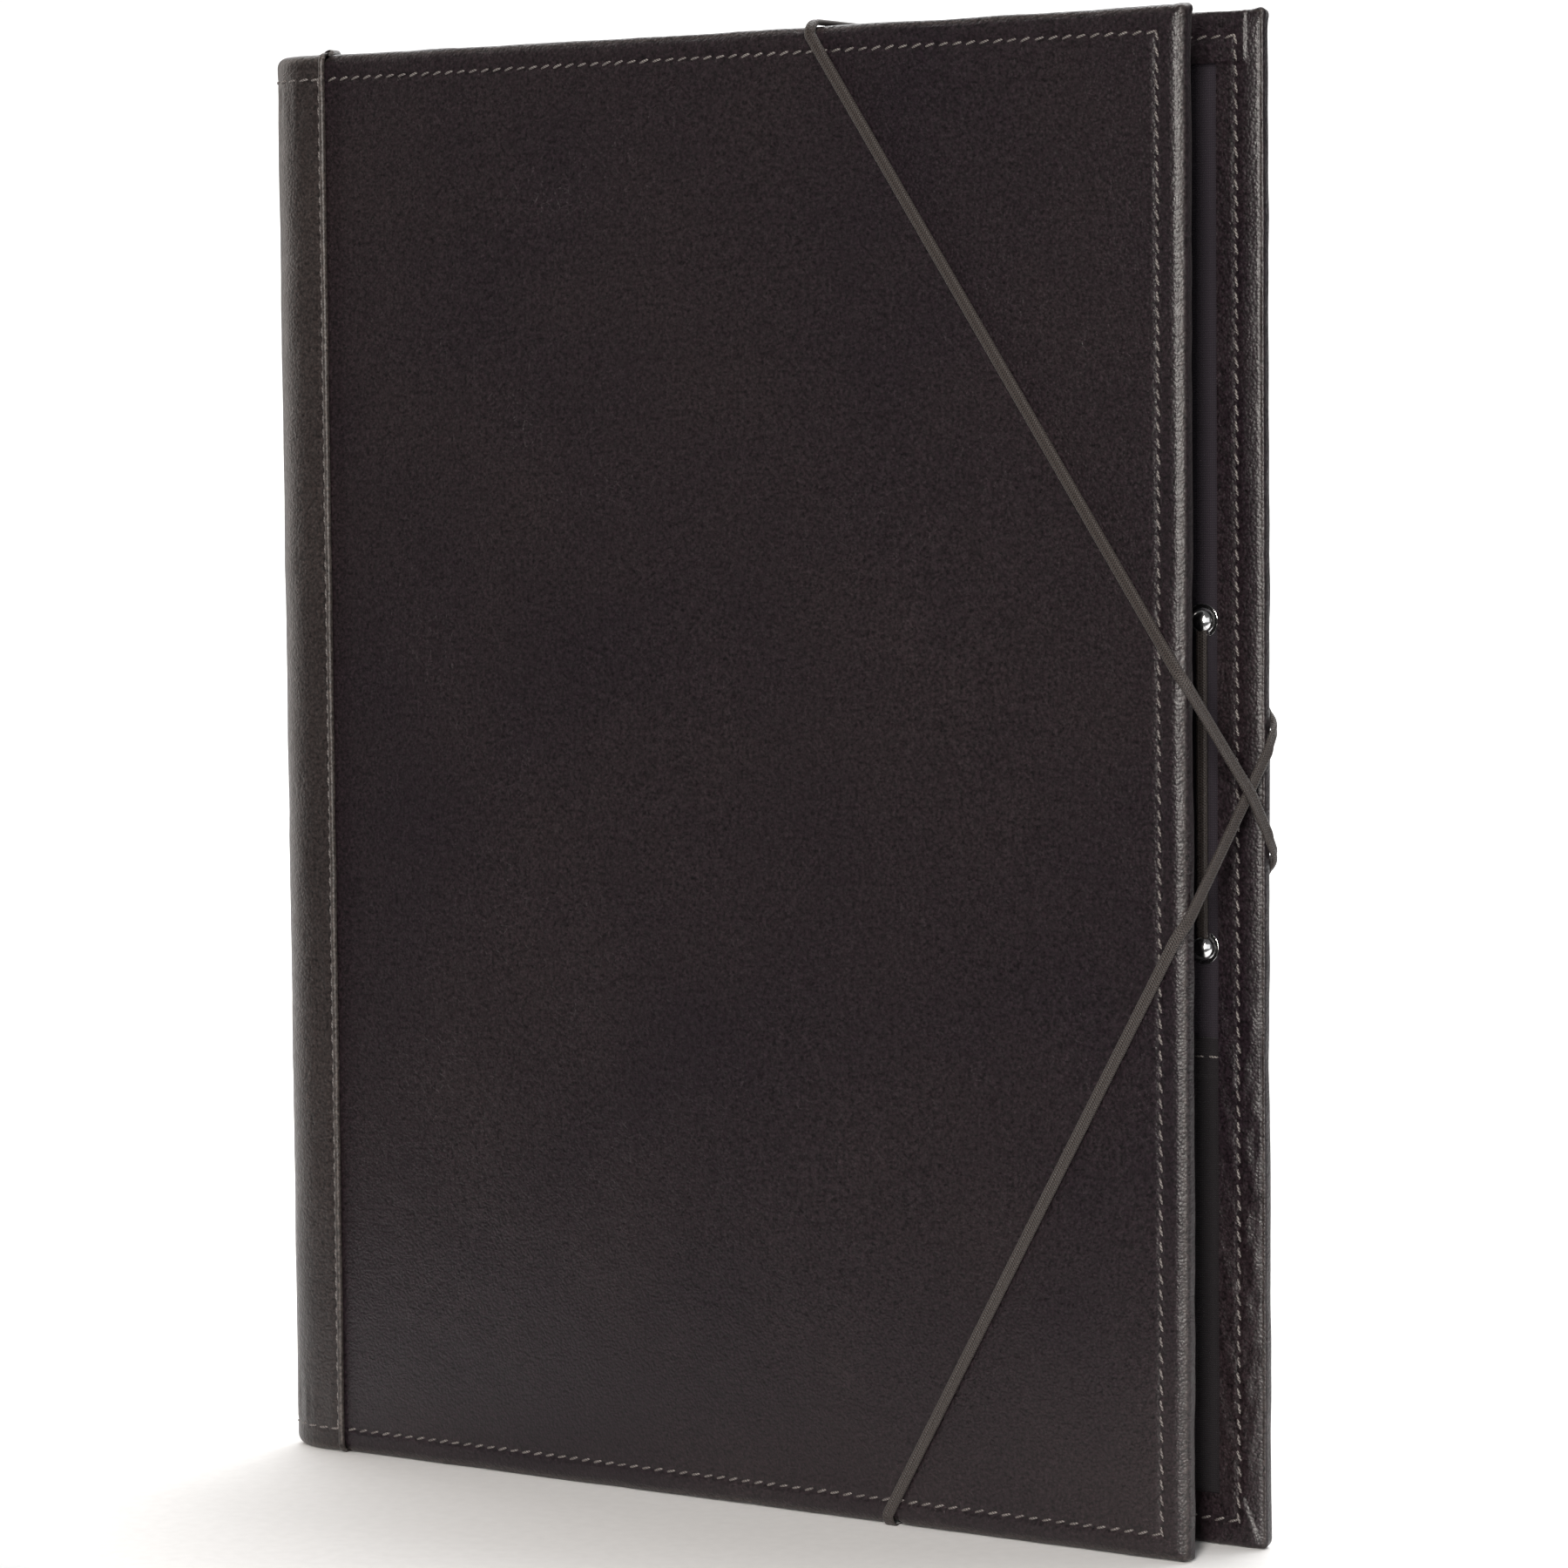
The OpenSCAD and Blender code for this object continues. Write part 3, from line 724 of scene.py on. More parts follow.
def strip_paths():
    ridge_x = strip_lap - RIDGE_R
    outer = [
        (ridge_x + RIDGE_R * math.cos(a), -RIDGE_R - RIDGE_R * math.sin(a))
        for a in np.radians(np.linspace(-70, 145, 13))
    ]
    seam_x = strip_lap - SEAM_IN
    outer += [(seam_x + dx, depth) for dx, depth in SEAM_DIP]
    outer.append((seam_x - 3.6, -strip_t))
    inner_share = (strip_lap - TURN_X) / (strip_lap - ROUND_X)
    inner = [(TURN_X + (x - ROUND_X) * inner_share, inner_face) for x, _ in outer]
    for a in np.radians(np.linspace(90, 180, 25)):
        outer.append((ROUND_X + ROUND_X * math.cos(a), ROUND_DEPTH * (1 - math.sin(a)) - strip_t))
        inner.append((TURN_X + TURN_R * math.cos(a), inner_face + TURN_R - TURN_R * math.sin(a)))
    for s in np.linspace(0, 1, 8)[1:]:
        outer.append((0, (ROUND_DEPTH - strip_t) * (1 - s) + half_t * s))
        inner.append((TURN_X - TURN_R, (inner_face + TURN_R) * (1 - s) + half_t * s))
    return np.array(outer), np.array(inner)


strip_outer, strip_inner = strip_paths()


# %% Turning the strip in at its ends
TURN_OUT_R = 2.4
TURN_IN_R = 1.1


def end_turn(span):
    """(distance in, distance from the end) from the outer face, over the end, to the hem inside."""
    quarter = np.radians(np.linspace(0, 90, 7))
    first = [(TURN_OUT_R * (1 - math.cos(a)), TURN_OUT_R * (1 - math.sin(a))) for a in quarter]
    across = [(s, 0) for s in np.linspace(TURN_OUT_R, span - TURN_IN_R, 5)[1:-1]]
    last = [(span - TURN_IN_R * (1 - math.sin(a)), TURN_IN_R * (1 - math.cos(a))) for a in quarter]
    down = [(span, d) for d in np.linspace(TURN_IN_R, STRIP_HEM, 22)[1:]]
    return np.array(first + across + last + down)


def strip_half(side):
    rows, wear_and_highlight = [], []
    body = graded((TURN_OUT_R, 12, 0.48), (12, height - 12, 2.5), (height - 12, height - TURN_OUT_R, 0.48))
    seed = 80 if side == "front" else 90
    for (x, depth), (in_x, in_depth) in zip(strip_outer, strip_inner):
        span = math.hypot(in_x - x, in_depth - depth)
        turn = end_turn(span)
        top = height + 0.2 + 0.45 * bell(x - strip_lap + 0.6, 1.1) * (depth < 0)
        across = np.concatenate([turn[::-1, 0], np.zeros(len(body) - 2), turn[:, 0]])
        z = np.concatenate([turn[::-1, 1], body[1:-1], top - turn[:, 1]])
        on_body = across < 0.01
        away = np.minimum(z, height - z)
        flat_part = ramp(0.2, 1.2, strip_lap - SEAM_IN - x) if depth < 0 else 1.0
        sink = 0.16 * bell(away - ROW_IN, 0.7) * np.where(on_body, flat_part, 0.6)
        soft = 0.06 * ripple(x * 1.5 + depth, z, 26, seed) + 0.03 * ripple(x + depth, z, 8, seed + 1)
        pucker = 0.16 * ripple((x - depth) * 1.3, z * 0.12, 6, seed + 2) * bell(away - 10, 6)
        sink = sink + np.where(on_body, soft + pucker * flat_part, 0) * ramp(2, 8, away)
        step = np.array([in_x - x, in_depth - depth]) / span
        sign = np.where(on_body, 1, np.where(across > span - 0.01, -1, 0))
        reach = across + sink * sign
        line = np.stack([x + step[0] * reach, depth + step[1] * reach, z], -1)
        rows.append(line)
        # The seam's ridge, the spine's corner and the turned ends are coloured lighter: partly wear, partly
        # painted highlight.
        ridge = bell(x - strip_lap + 0.5, 0.6) * 0.8 + 0.25 * ((x < 4) & (depth < FOLD_R))
        wear_and_highlight.append(np.where(on_body, ridge * ramp(0, 1, away), 0) + 0.8 * bell(away - 0.6, 0.7))
    grid = np.array(rows)
    name = side + "_half_spine_leather"
    faces = grid_faces(*grid.shape[:2])
    points = placed(side, grid).reshape(-1, 3)
    piece = make_piece(name, points, faces, strip_leather, side == "front", np.clip(np.array(wear_and_highlight), 0, 1))
    return thicken(piece, STRIP_SKIN_T)


# %% The two halves, each bent across its fold
for side in ("front", "rear"):
    half = strip_half(side)
    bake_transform(half)
    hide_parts(side + "_spine_leather")
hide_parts("spine_leather")

# %% [markdown]
# ## Linings
# Each cover is lined with cloth that is glued to the board and tucked under the leather hem. A second,
# narrow cloth covers the two hinges and the inside of the spine. Glued cloth lies nearly flat, with only
# the faint unevenness of the board under it, so it is a thin sheet with low ripples. Round the eyelets
# the press has left a ring.

# %% Cover linings
LINING_T = 0.35
LINING_IN = 1.9  # from the cover's edges to the cloth's cut edge, under the hem


def cover_lining(side):
    width = widths[side]
    x_lines = graded((cover_start, width - 26, 4), (width - 26, width - LINING_IN, 1.0))
    near, far = EYELET_ZONE
    z_lines = graded(
        (LINING_IN, 14, 2), (14, height / 2 - far, 3), (height / 2 - far, height / 2 - near, 0.9),
        (height / 2 - near, height / 2 + near, 3), (height / 2 + near, height / 2 + far, 0.9),
        (height / 2 + far, height - 14, 3), (height - 14, height - LINING_IN, 2),
    )
    z, x = np.meshgrid(z_lines, x_lines, indexing="ij")
    depth = lining_depth + 0.04 + 0.05 * ripple(x, z, 42, 101) + 0.025 * ripple(x, z, 11, 102)
    if side == "rear":
        for eye_z in EYELET_Z:
            away = np.hypot(x - EYELET_X, z - eye_z)
            depth = depth - 0.2 * bell(away - 4.3, 0.7) + 0.1 * bell(away - 6.2, 1.2)
    grid = np.stack([x, depth, z], -1)
    faces = grid_faces(*x.shape)
    points = placed(side, grid).reshape(-1, 3)
    piece = make_piece(side + "_cover_lining", points, faces, lining_cloth, side == "rear")
    thicken(piece, LINING_T)
    return piece, (width - LINING_IN - cover_start, height - 2 * LINING_IN)


for side in ("front", "rear"):
    piece, cut = cover_lining(side)
    if side == "rear":
        punched(piece)
    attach(piece, side + "_cover")
    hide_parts(side + "_lining")
    print(piece.name, "cut", [round(float(c), 1) for c in cut], "mm")

# %% Hinge cloth over the folds and the inside of the spine
HINGE_DEPTH = lining_depth + 0.5
HINGE_X = 8.1
HINGE_R = 5.0


def hinge_path():
    path = [(x, HINGE_DEPTH) for x in np.linspace(hinge_end, HINGE_X, 12)]
    for a in np.radians(np.linspace(90, 180, 15))[1:]:
        path.append((HINGE_X + HINGE_R * math.cos(a), HINGE_DEPTH + HINGE_R - HINGE_R * math.sin(a)))
    path += [(HINGE_X - HINGE_R, d) for d in np.linspace(HINGE_DEPTH + HINGE_R, half_t, 6)[1:]]
    return np.array(path)


def hinge_cloth(side):
    path = hinge_path()
    z_lines = np.linspace(hem_w + 0.05, height - hem_w - 0.05, 120)
    z, k = np.meshgrid(z_lines, np.arange(len(path)), indexing="ij")
    x, depth = path[k, 0], path[k, 1]
    free = ramp(0, 4, hinge_end - x)
    depth = depth + 0.07 * free * ripple(x + depth, z, 15, 111)
    grid = np.stack([x, depth, z], -1)
    points = placed(side, grid).reshape(-1, 3)
    piece = make_piece(side + "_hinge_cloth", points, grid_faces(*x.shape), lining_cloth, side == "front")
    girth = sum(np.hypot(*step) for step in np.diff(path, axis=0))
    return thicken(piece, LINING_T), (girth, z_lines[-1] - z_lines[0])


for side in ("front", "rear"):
    piece, cut = hinge_cloth(side)
    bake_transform(piece)
    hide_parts(side + "_hinge_lining")
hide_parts("spine_lining")

# %% [markdown]
# ## The pocket
# A cloth pocket at the foot of the rear cover takes loose papers. Its mouth is folded back and stitched,
# so it is two layers thick there and rounded along the top. The sheet runs up the front of the pocket,
# over the fold, and a little way down behind it.

# %% Pocket cloth
pocket_low, pocket_high = corners("rear_pocket")
POCKET_X0 = pocket_low[0] - spine_x
POCKET_X1 = pocket_high[0] - spine_x
POCKET_TOP = pocket_high[2]
POCKET_HEM = 8.0
POCKET_T = 0.35
FOLD_GAP_R = 0.42


def pocket_depth(x, z):
    """The pocket's outer face: slack in the middle, and thicker along the mouth."""
    u = (x - POCKET_X0) / (POCKET_X1 - POCKET_X0)
    slack = np.clip(np.sin(math.pi * np.clip(u, 0, 1)), 0, 1) ** 0.6 * ramp(hem_w, hem_w + 30, z)
    mouth = 0.42 * ramp(POCKET_TOP - POCKET_HEM - 0.5, POCKET_TOP - POCKET_HEM + 0.3, z)
    channel = 0.15 * bell(z - (POCKET_TOP - POCKET_HEM / 2), 0.6)
    sag = 0.1 * ripple(x, z, 38, 121) + 0.05 * ripple(x, z, 12, 122)
    sag = sag * ramp(0, 0.15, u) * ramp(0, 0.15, 1 - u)
    return lining_depth + 0.5 + mouth - channel + 0.45 * slack + sag


def rear_pocket():
    x_lines = graded((POCKET_X0, POCKET_X1 - 12, 4), (POCKET_X1 - 12, POCKET_X1, 1))
    up = graded((hem_w + 0.05, POCKET_TOP - 10, 2.5), (POCKET_TOP - 10, POCKET_TOP - FOLD_GAP_R, 0.45))
    rows = []
    for z in up:
        rows.append(np.stack([x_lines, pocket_depth(x_lines, z), np.full_like(x_lines, z)], -1))
    level = pocket_depth(x_lines, up[-1])
    for a in np.radians(np.linspace(0, 180, 9))[1:]:
        depth = level - FOLD_GAP_R * (1 - math.cos(a))
        z = up[-1] + FOLD_GAP_R * math.sin(a)
        rows.append(np.stack([x_lines, depth, np.full_like(x_lines, z)], -1))
    for z in np.linspace(up[-1], POCKET_TOP - POCKET_HEM, 9)[1:]:
        depth = pocket_depth(x_lines, z) - 2 * FOLD_GAP_R
        rows.append(np.stack([x_lines, depth, np.full_like(x_lines, z)], -1))
    grid = np.array(rows)
    points = placed("rear", grid).reshape(-1, 3)
    # The pocket's darker cloth is painted shade.
    piece = make_piece("inside_pocket", points, grid_faces(*grid.shape[:2]), pocket_cloth_painted_shade, True)
    return thicken(piece, POCKET_T)


pocket = rear_pocket()
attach(pocket, "rear_cover")
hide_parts("rear_pocket")

# %% [markdown]
# ## Stitches
# A row of saddle stitches is the same stitch again and again along a line, so Geometry Nodes make it.
# The line is a thin mesh that also carries the direction out of the leather. The tree turns the line
# into points one pitch apart, puts a short arched thread on each, leans it a little to one side as a
# slanted awl does, and gives it a small random difference. The ends of each thread dive into the leather.

# %% The stitch tree
def stitch_tree():
    tree = bpy.data.node_groups.new("saddle_stitches", "GeometryNodeTree")
    sockets = tree.interface
    sockets.new_socket("Rows", in_out="INPUT", socket_type="NodeSocketGeometry")
    for name in ("Pitch", "Stitch length", "Thread radius", "Slant"):
        sockets.new_socket(name, in_out="INPUT", socket_type="NodeSocketFloat")
    sockets.new_socket("Seed", in_out="INPUT", socket_type="NodeSocketInt")
    sockets.new_socket("Thread", in_out="INPUT", socket_type="NodeSocketMaterial")
    sockets.new_socket("Stitches", in_out="OUTPUT", socket_type="NodeSocketGeometry")

    def add(kind, inputs=(), **settings):
        return add_node(tree, kind, inputs, **settings)

    given = add("NodeGroupInput").outputs
    curve = add("GeometryNodeMeshToCurve", {"Mesh": given["Rows"]})
    spacing = {"Curve": curve.outputs[0], "Length": given["Pitch"]}
    points = add("GeometryNodeCurveToPoints", spacing, mode="LENGTH")
    out = add("GeometryNodeInputNamedAttribute", {"Name": "out"}, data_type="FLOAT_VECTOR")
    stand = add(
        "FunctionNodeAxesToRotation", primary_axis="X", secondary_axis="Z",
        inputs={"Primary Axis": points.outputs["Tangent"], "Secondary Axis": out.outputs["Attribute"]},
    )
    lean = add("FunctionNodeRandomValue", {2: -0.07, 3: 0.07, "Seed": given["Seed"]}, data_type="FLOAT")
    angle = add("ShaderNodeMath", {0: given["Slant"], 1: lean.outputs[1]}, operation="ADD")
    slant = add("FunctionNodeAxisAngleToRotation", {"Axis": (0, 0, 1), "Angle": angle.outputs[0]})
    rotation = add(
        "FunctionNodeRotateRotation", rotation_space="LOCAL",
        inputs={"Rotation": stand.outputs[0], "Rotate By": slant.outputs[0]},
    )
    ends = []
    for place in ((-0.5, 0, -0.13), (0, 0, 0.2), (0.5, 0, -0.13)):
        scaled = add("ShaderNodeVectorMath", {0: place, "Scale": given["Stitch length"]}, operation="SCALE")
        ends.append(scaled.outputs[0])
    arch = add("GeometryNodeCurveQuadraticBezier", {
        "Resolution": 6, "Start": ends[0], "Middle": ends[1], "End": ends[2],
    })
    ring = add("GeometryNodeCurvePrimitiveCircle", {"Resolution": 6, "Radius": given["Thread radius"]})
    thread = add("GeometryNodeCurveToMesh", {
        "Curve": arch.outputs[0], "Profile Curve": ring.outputs[0], "Fill Caps": True,
    })
    size = add("FunctionNodeRandomValue", {2: 0.93, 3: 1.06, "Seed": given["Seed"]}, data_type="FLOAT")
    placed_threads = add("GeometryNodeInstanceOnPoints", {
        "Points": points.outputs["Points"], "Instance": thread.outputs[0],
        "Rotation": rotation.outputs[0], "Scale": size.outputs[1],
    })
    real = add("GeometryNodeRealizeInstances", {"Geometry": placed_threads.outputs[0]})
    smooth = add("GeometryNodeSetShadeSmooth", {0: real.outputs[0]})
    waxed = add("GeometryNodeSetMaterial", {"Geometry": smooth.outputs[0], "Material": given["Thread"]})
    tree.links.new(waxed.outputs[0], add("NodeGroupOutput").inputs["Stitches"])
    return tree


# %% Sewing rows along lines
PITCH = 3.3
THREAD_R = 0.3
stitches = stitch_tree()


def sew(name, side, rows, seed, length=2.3, slant=0.3, radius=THREAD_R):
    """rows is a list of (points, outward directions), both in (x, depth, z)."""
    points, edges, out = [], [], []
    for line, direction in rows:
        first = len(points)
        points += list(placed(side, line))
        out += list(turned(side, direction))
        edges += [(k, k + 1) for k in range(first, len(points) - 1)]
    mesh = bpy.data.meshes.new(name)
    mesh.from_pydata([tuple(p) for p in points], edges, [])
    layer = mesh.attributes.new("out", "FLOAT_VECTOR", "POINT")
    layer.data.foreach_set("vector", np.array(out, np.float32).ravel())
    piece = bpy.data.objects.new(name, mesh)
    bpy.context.scene.collection.objects.link(piece)
    sewing = piece.modifiers.new("stitches", "NODES")
    sewing.node_group = stitches
    values = {
        "Pitch": PITCH * MM, "Stitch length": length * MM, "Thread radius": radius * MM,
        "Slant": slant * INWARD[side], "Seed": seed, "Thread": thread_wax,
    }
    for item in stitches.interface.items_tree:
        if item.in_out == "INPUT" and item.name in values:
            sewing[item.identifier] = values[item.name]
    bpy.context.view_layer.update()
    graph = bpy.context.evaluated_depsgraph_get()
    sewn = bpy.data.meshes.new_from_object(piece.evaluated_get(graph), depsgraph=graph)
    piece.modifiers.clear()
    piece.data = sewn
    print(name, len(sewn.polygons), "faces of thread")
    return piece


def along(start, end, step=1.5):
    """Evenly spaced (x, z) points from start to end."""
    count = max(2, round(math.dist(start, end) / step) + 1)
    return np.linspace(start, end, count)


def round_three_edges(side, start_x):
    end = widths[side] - FORE_ROW_IN
    top, bottom = height - ROW_IN, ROW_IN
    return [
        along((start_x, top), (end - 1.2, top)),
        along((end, top - 0.6), (end, bottom + 0.6)),
        along((end - 1.2, bottom), (start_x, bottom)),
    ]


def edge_rows(side, outside):
    rows = []
    start_x = strip_lap + 1.6 if outside else TURN_X + 12
    for line in round_three_edges(side, start_x):
        x, z = line[:, 0], line[:, 1]
        if outside:
            depth = -face_rise(side, x, z) - 0.04
        else:
            depth = cover_t + hem_rise(side, x, z) + 0.04
        direction = np.tile((0, -1 if outside else 1, 0), (len(x), 1))
        rows.append((np.stack([x, depth, z], -1), direction))
    return rows


# %% The rows round the covers
for side in ("front", "rear"):
    for where, outside, seed in (("outer", True, 3), ("inner", False, 5)):
        lean = 0.3 if outside else -0.3
        piece = sew(side + "_" + where + "_stitches", side, edge_rows(side, outside), seed, slant=lean)
        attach(piece, side + "_cover")
        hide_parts(side + "_thread_" + where)

# %% The seam along the spine leather, and its rows across the strip
def strip_rows(side):
    seam_x = strip_lap - SEAM_IN
    z = np.linspace(ROW_IN + 1, height - ROW_IN - 1, 220)
    seam = np.stack([np.full_like(z, seam_x), np.full_like(z, -0.8), z], -1)
    rows = [(seam, np.tile((0, -1, 0), (len(z), 1)))]
    path = strip_outer[strip_outer[:, 0] < seam_x - 0.5]
    tangent = np.gradient(path, axis=0)
    out = np.stack([tangent[:, 1], -tangent[:, 0]], -1)
    out = out / np.linalg.norm(out, axis=1, keepdims=True)
    out = np.where(out @ np.array([-1.0, -1.0]) < 0, -1, 1)[:, None] * out
    for z_row in (ROW_IN, height - ROW_IN):
        line = np.column_stack([path - 0.13 * out, np.full(len(path), z_row)])
        rows.append((line, np.stack([out[:, 0], out[:, 1], np.zeros(len(path))], -1)))
    return rows


for side in ("front", "rear"):
    piece = sew(side + "_spine_stitches", side, strip_rows(side), 7, slant=0.12)
    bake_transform(piece)
    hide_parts(side + "_seam_thread")
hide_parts("spine_thread")

# %% The row along the pocket's mouth
mouth_z = POCKET_TOP - POCKET_HEM / 2
mouth_x = np.linspace(POCKET_X0 + 2, POCKET_X1 - 1.5, 160)
mouth = np.stack([mouth_x, pocket_depth(mouth_x, mouth_z) + 0.02, np.full_like(mouth_x, mouth_z)], -1)
piece = sew("pocket_stitches", "rear", [(mouth, np.tile((0, 1, 0), (len(mouth), 1)))], 9, 2.5, 0.0, 0.24)
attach(piece, "rear_cover")
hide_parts("rear_pocket_thread")

# %% [markdown]
# ## Eyelets
# Each eyelet is pressed from one disc: a flange on the lining, a barrel through the cover whose rolled
# end grips a washer outside, and a domed cap that hides the hole. The cap has a notch on the side that
# faces the other eyelet, and the band leaves there. A section is spun about the bore, and then the notch
# is cut.

# %% Spinning a section about a bore
METAL_SHARP = 35  # degrees


def spun(name, section, z_centres, segments=56):
    """section is a closed list of (radius, depth)."""
    points, faces = [], []
    ring = len(section)
    for z in z_centres:
        first = len(points)
        for k in range(segments):
            angle = 2 * math.pi * k / segments
            for radius, depth in section:
                points.append((EYELET_X + radius * math.cos(angle), depth, z + radius * math.sin(angle)))
        for k in range(segments):
            a, b = first + k * ring, first + (k + 1) % segments * ring
            faces += [(a + j, b + j, b + (j + 1) % ring, a + (j + 1) % ring) for j in range(ring)]
    return make_piece(name, placed("rear", points), faces, bright_metal, sharp=METAL_SHARP)


def outward(piece):
    """Joins the points that lie together, and turns the faces of the closed shape outwards."""
    shape = bmesh.new()
    shape.from_mesh(piece.data)
    bmesh.ops.remove_doubles(shape, verts=shape.verts, dist=0.002 * MM)
    bmesh.ops.recalc_face_normals(shape, faces=shape.faces)
    shape.to_mesh(piece.data)
    shape.free()
    return piece


# %% The caps and the washers
CAP_R = 2.9
CAP_T = 0.4
CAP_DROP = 0.5
FLANGE_T = 0.3
WASHER_T = 0.4
NOTCH_W = 3.0
NOTCH_H = 1.5


def cap_arc(radius, from_top):
    """The cap's arc over the flange, from its foot to its top or back."""
    foot = math.asin((CAP_DROP + FLANGE_T) / radius)
    angles = np.linspace(math.pi / 2, foot, 15) if from_top else np.linspace(foot, math.pi / 2, 15)
    middle = lining_depth - CAP_DROP
    return [(max(radius * math.cos(a), 0), middle + radius * math.sin(a)) for a in angles]


flange_edge = [
    (RIM_R - 0.14 + 0.14 * math.cos(a), lining_depth + 0.15 + 0.15 * math.sin(a))
    for a in np.radians(np.linspace(-90, 90, 7))
]
rolled = [
    (BORE_R + 0.45 - 0.45 * math.cos(a), -WASHER_T - 0.1 - 0.35 * math.sin(a))
    for a in np.radians(np.linspace(0, 180, 9))
]
bore = [(BORE_R, lining_depth + FLANGE_T)]
barrel = [(BARREL_R, -WASHER_T), (BARREL_R, lining_depth - 0.01)]
eyelet_section = cap_arc(CAP_R, False) + cap_arc(CAP_R - CAP_T, True) + bore + rolled + barrel + flange_edge
washer_section = [(BARREL_R + 0.05, 0.0), (RIM_R, 0.0)] + [
    (RIM_R - 0.5 + 0.5 * math.cos(a), -0.12 - 0.28 * math.sin(a)) for a in np.radians(np.linspace(0, 90, 6))
] + [(BARREL_R + 0.05, -WASHER_T)]


def notched(piece, z, way):
    """Cuts an arched notch from the axis outwards. way is 1 upwards and -1 downwards."""
    arch = [(-NOTCH_W / 2, -0.02), (NOTCH_W / 2, -0.02)] + [
        (NOTCH_W / 2 * math.cos(a) ** 0.5, NOTCH_H - 0.5 + 0.5 * math.sin(a))
        for a in np.radians((0, 25, 50, 75))
    ]
    arch += [(-x, h) for x, h in arch[:1:-1]]
    ways = (0.0, way * (RIM_R + 1))
    points = [(EYELET_X + x, lining_depth + h, z + reach) for reach in ways for x, h in arch]
    cutter = make_piece("notch", placed("rear", points), prism_faces(len(arch)), bright_metal)
    return cut_out(piece, outward(cutter), METAL_SHARP)


for name, z, way in zip(("eyelet_lower", "eyelet_upper"), EYELET_Z, (1, -1)):
    piece = notched(outward(spun("domed_" + name, eyelet_section, [z])), z, way)
    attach(piece, "rear_cover")
    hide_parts(name)
piece = outward(spun("back_washers", washer_section, EYELET_Z))
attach(piece, "rear_cover")
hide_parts("eyelet_washers")
print("eyelets at x", round(EYELET_X, 1), "z", [round(float(z), 1) for z in EYELET_Z])

# %% [markdown]
# ## The elastic
# One loop passes through the two eyelets. Outside, each strand comes round the rear fore-edge, crosses
# the other over the gap and runs slantwise over the front cover to the top or the bottom. The route is
# a list of stations, each with a point and the direction away from the cover: quarter turns round the
# arrises, and straight runs between them. The band has two cords side by side, so its section has two
# lobes with a groove along the middle.

# %% Stations along the band
BAND_W = 2.6
BAND_T = 1.25
BAND_LIFT = 0.2
INSIDE_LIFT = 0.15
EYE_BEND_R = 1.2  # the bend where the band leaves the bore outside
INSIDE_BEND_R = 1.3  # the bend where it leaves the cap inside
band_off = BAND_LIFT + BAND_T / 2
X, Y, Z = np.eye(3)


def quarter(centre, before, after, radius, drift=0 * Z, start=0, end=90, count=9):
    """Stations round an arris, from facing before to facing after."""
    stations = []
    for s in np.linspace(0, 1, count):
        a = math.radians(start + (end - start) * s)
        facing = before * math.cos(a) + after * math.sin(a)
        stations.append((centre + facing * (radius + band_off) + drift * (s - 0.5), facing))
    return stations


REACH = widths["rear"] - widths["front"]
rear_arris_y = half_t - cover_t + HEM_R
front_arris_y = -half_t + EDGE_R
lean_angle = math.degrees(math.atan(REACH / (rear_arris_y - front_arris_y)))
crossing_way = X * math.cos(math.radians(lean_angle)) - Y * math.sin(math.radians(lean_angle))
eye_y = half_t + WASHER_T + band_off - EYE_BEND_R
UPPER_DZ, LOWER_DZ = 25.0, 30.0  # from mid-height to each strand at the front fore-edge
UPPER_CROSS, LOWER_CROSS = 10.5, 8.0  # from mid-height to each strand at the rear fore-edge
ARRIS_SHORT = 2.0
both_cross = UPPER_CROSS + LOWER_CROSS
cross_share = both_cross / (both_cross + UPPER_DZ + LOWER_DZ - 2 * ARRIS_SHORT)
MID_Z = height / 2


def strand(up, front_dz, cross_dz, ride_over, pressed):
    """One strand from its eyelet to the middle of the back. up is 1 over the top, -1 under the bottom."""
    eye = np.array([EYELET_X, eye_y, MID_Z - up * (EYELET_Z[1] - MID_Z)])
    away = (X + Z * up) / math.sqrt(2)
    stations = []
    for a in np.radians(np.linspace(0, 90, 7)):
        facing = -away * math.cos(a) + Y * math.sin(a)
        stations.append((eye + away * EYE_BEND_R + facing * EYE_BEND_R, facing))
    stations.append((eye + away * 5 + Y * 1.1, Y))
    back = np.array([widths["rear"] - EDGE_R, half_t - EDGE_R, MID_Z - up * (cross_dz + 4.5)])
    inner = np.array([widths["rear"] - HEM_R, rear_arris_y, MID_Z - up * cross_dz])
    outer = np.array([widths["front"] - EDGE_R, front_arris_y, MID_Z + up * (front_dz - ARRIS_SHORT)])
    stations += quarter(back, Y, X, EDGE_R, Z * up * 4)
    stations += quarter(inner, X, -Y, HEM_R, Z * up * 1.5, 0, lean_angle, 4)
    skin = (1 - cross_share) * HEM_R + cross_share * EDGE_R + band_off
    stations.append((inner + (outer - inner) * cross_share + crossing_way * (skin + ride_over), crossing_way))
    stations += quarter(outer, X, -Y, EDGE_R, Z * up * 5, lean_angle, 90, 7)
    end_x = BAND_TOP_X if up > 0 else BAND_BOTTOM_X
    end_z = height - EDGE_R if up > 0 else EDGE_R + pressed
    stations += quarter(np.array([end_x, -half_t + EDGE_R, end_z]), -Y, Z * up, EDGE_R)
    stations += quarter(np.array([end_x, half_t - EDGE_R, end_z]), Z * up, Y, EDGE_R)
    stations.append((np.array([(BAND_TOP_X + BAND_BOTTOM_X) / 2, half_t + band_off, MID_Z]), Y))
    return stations


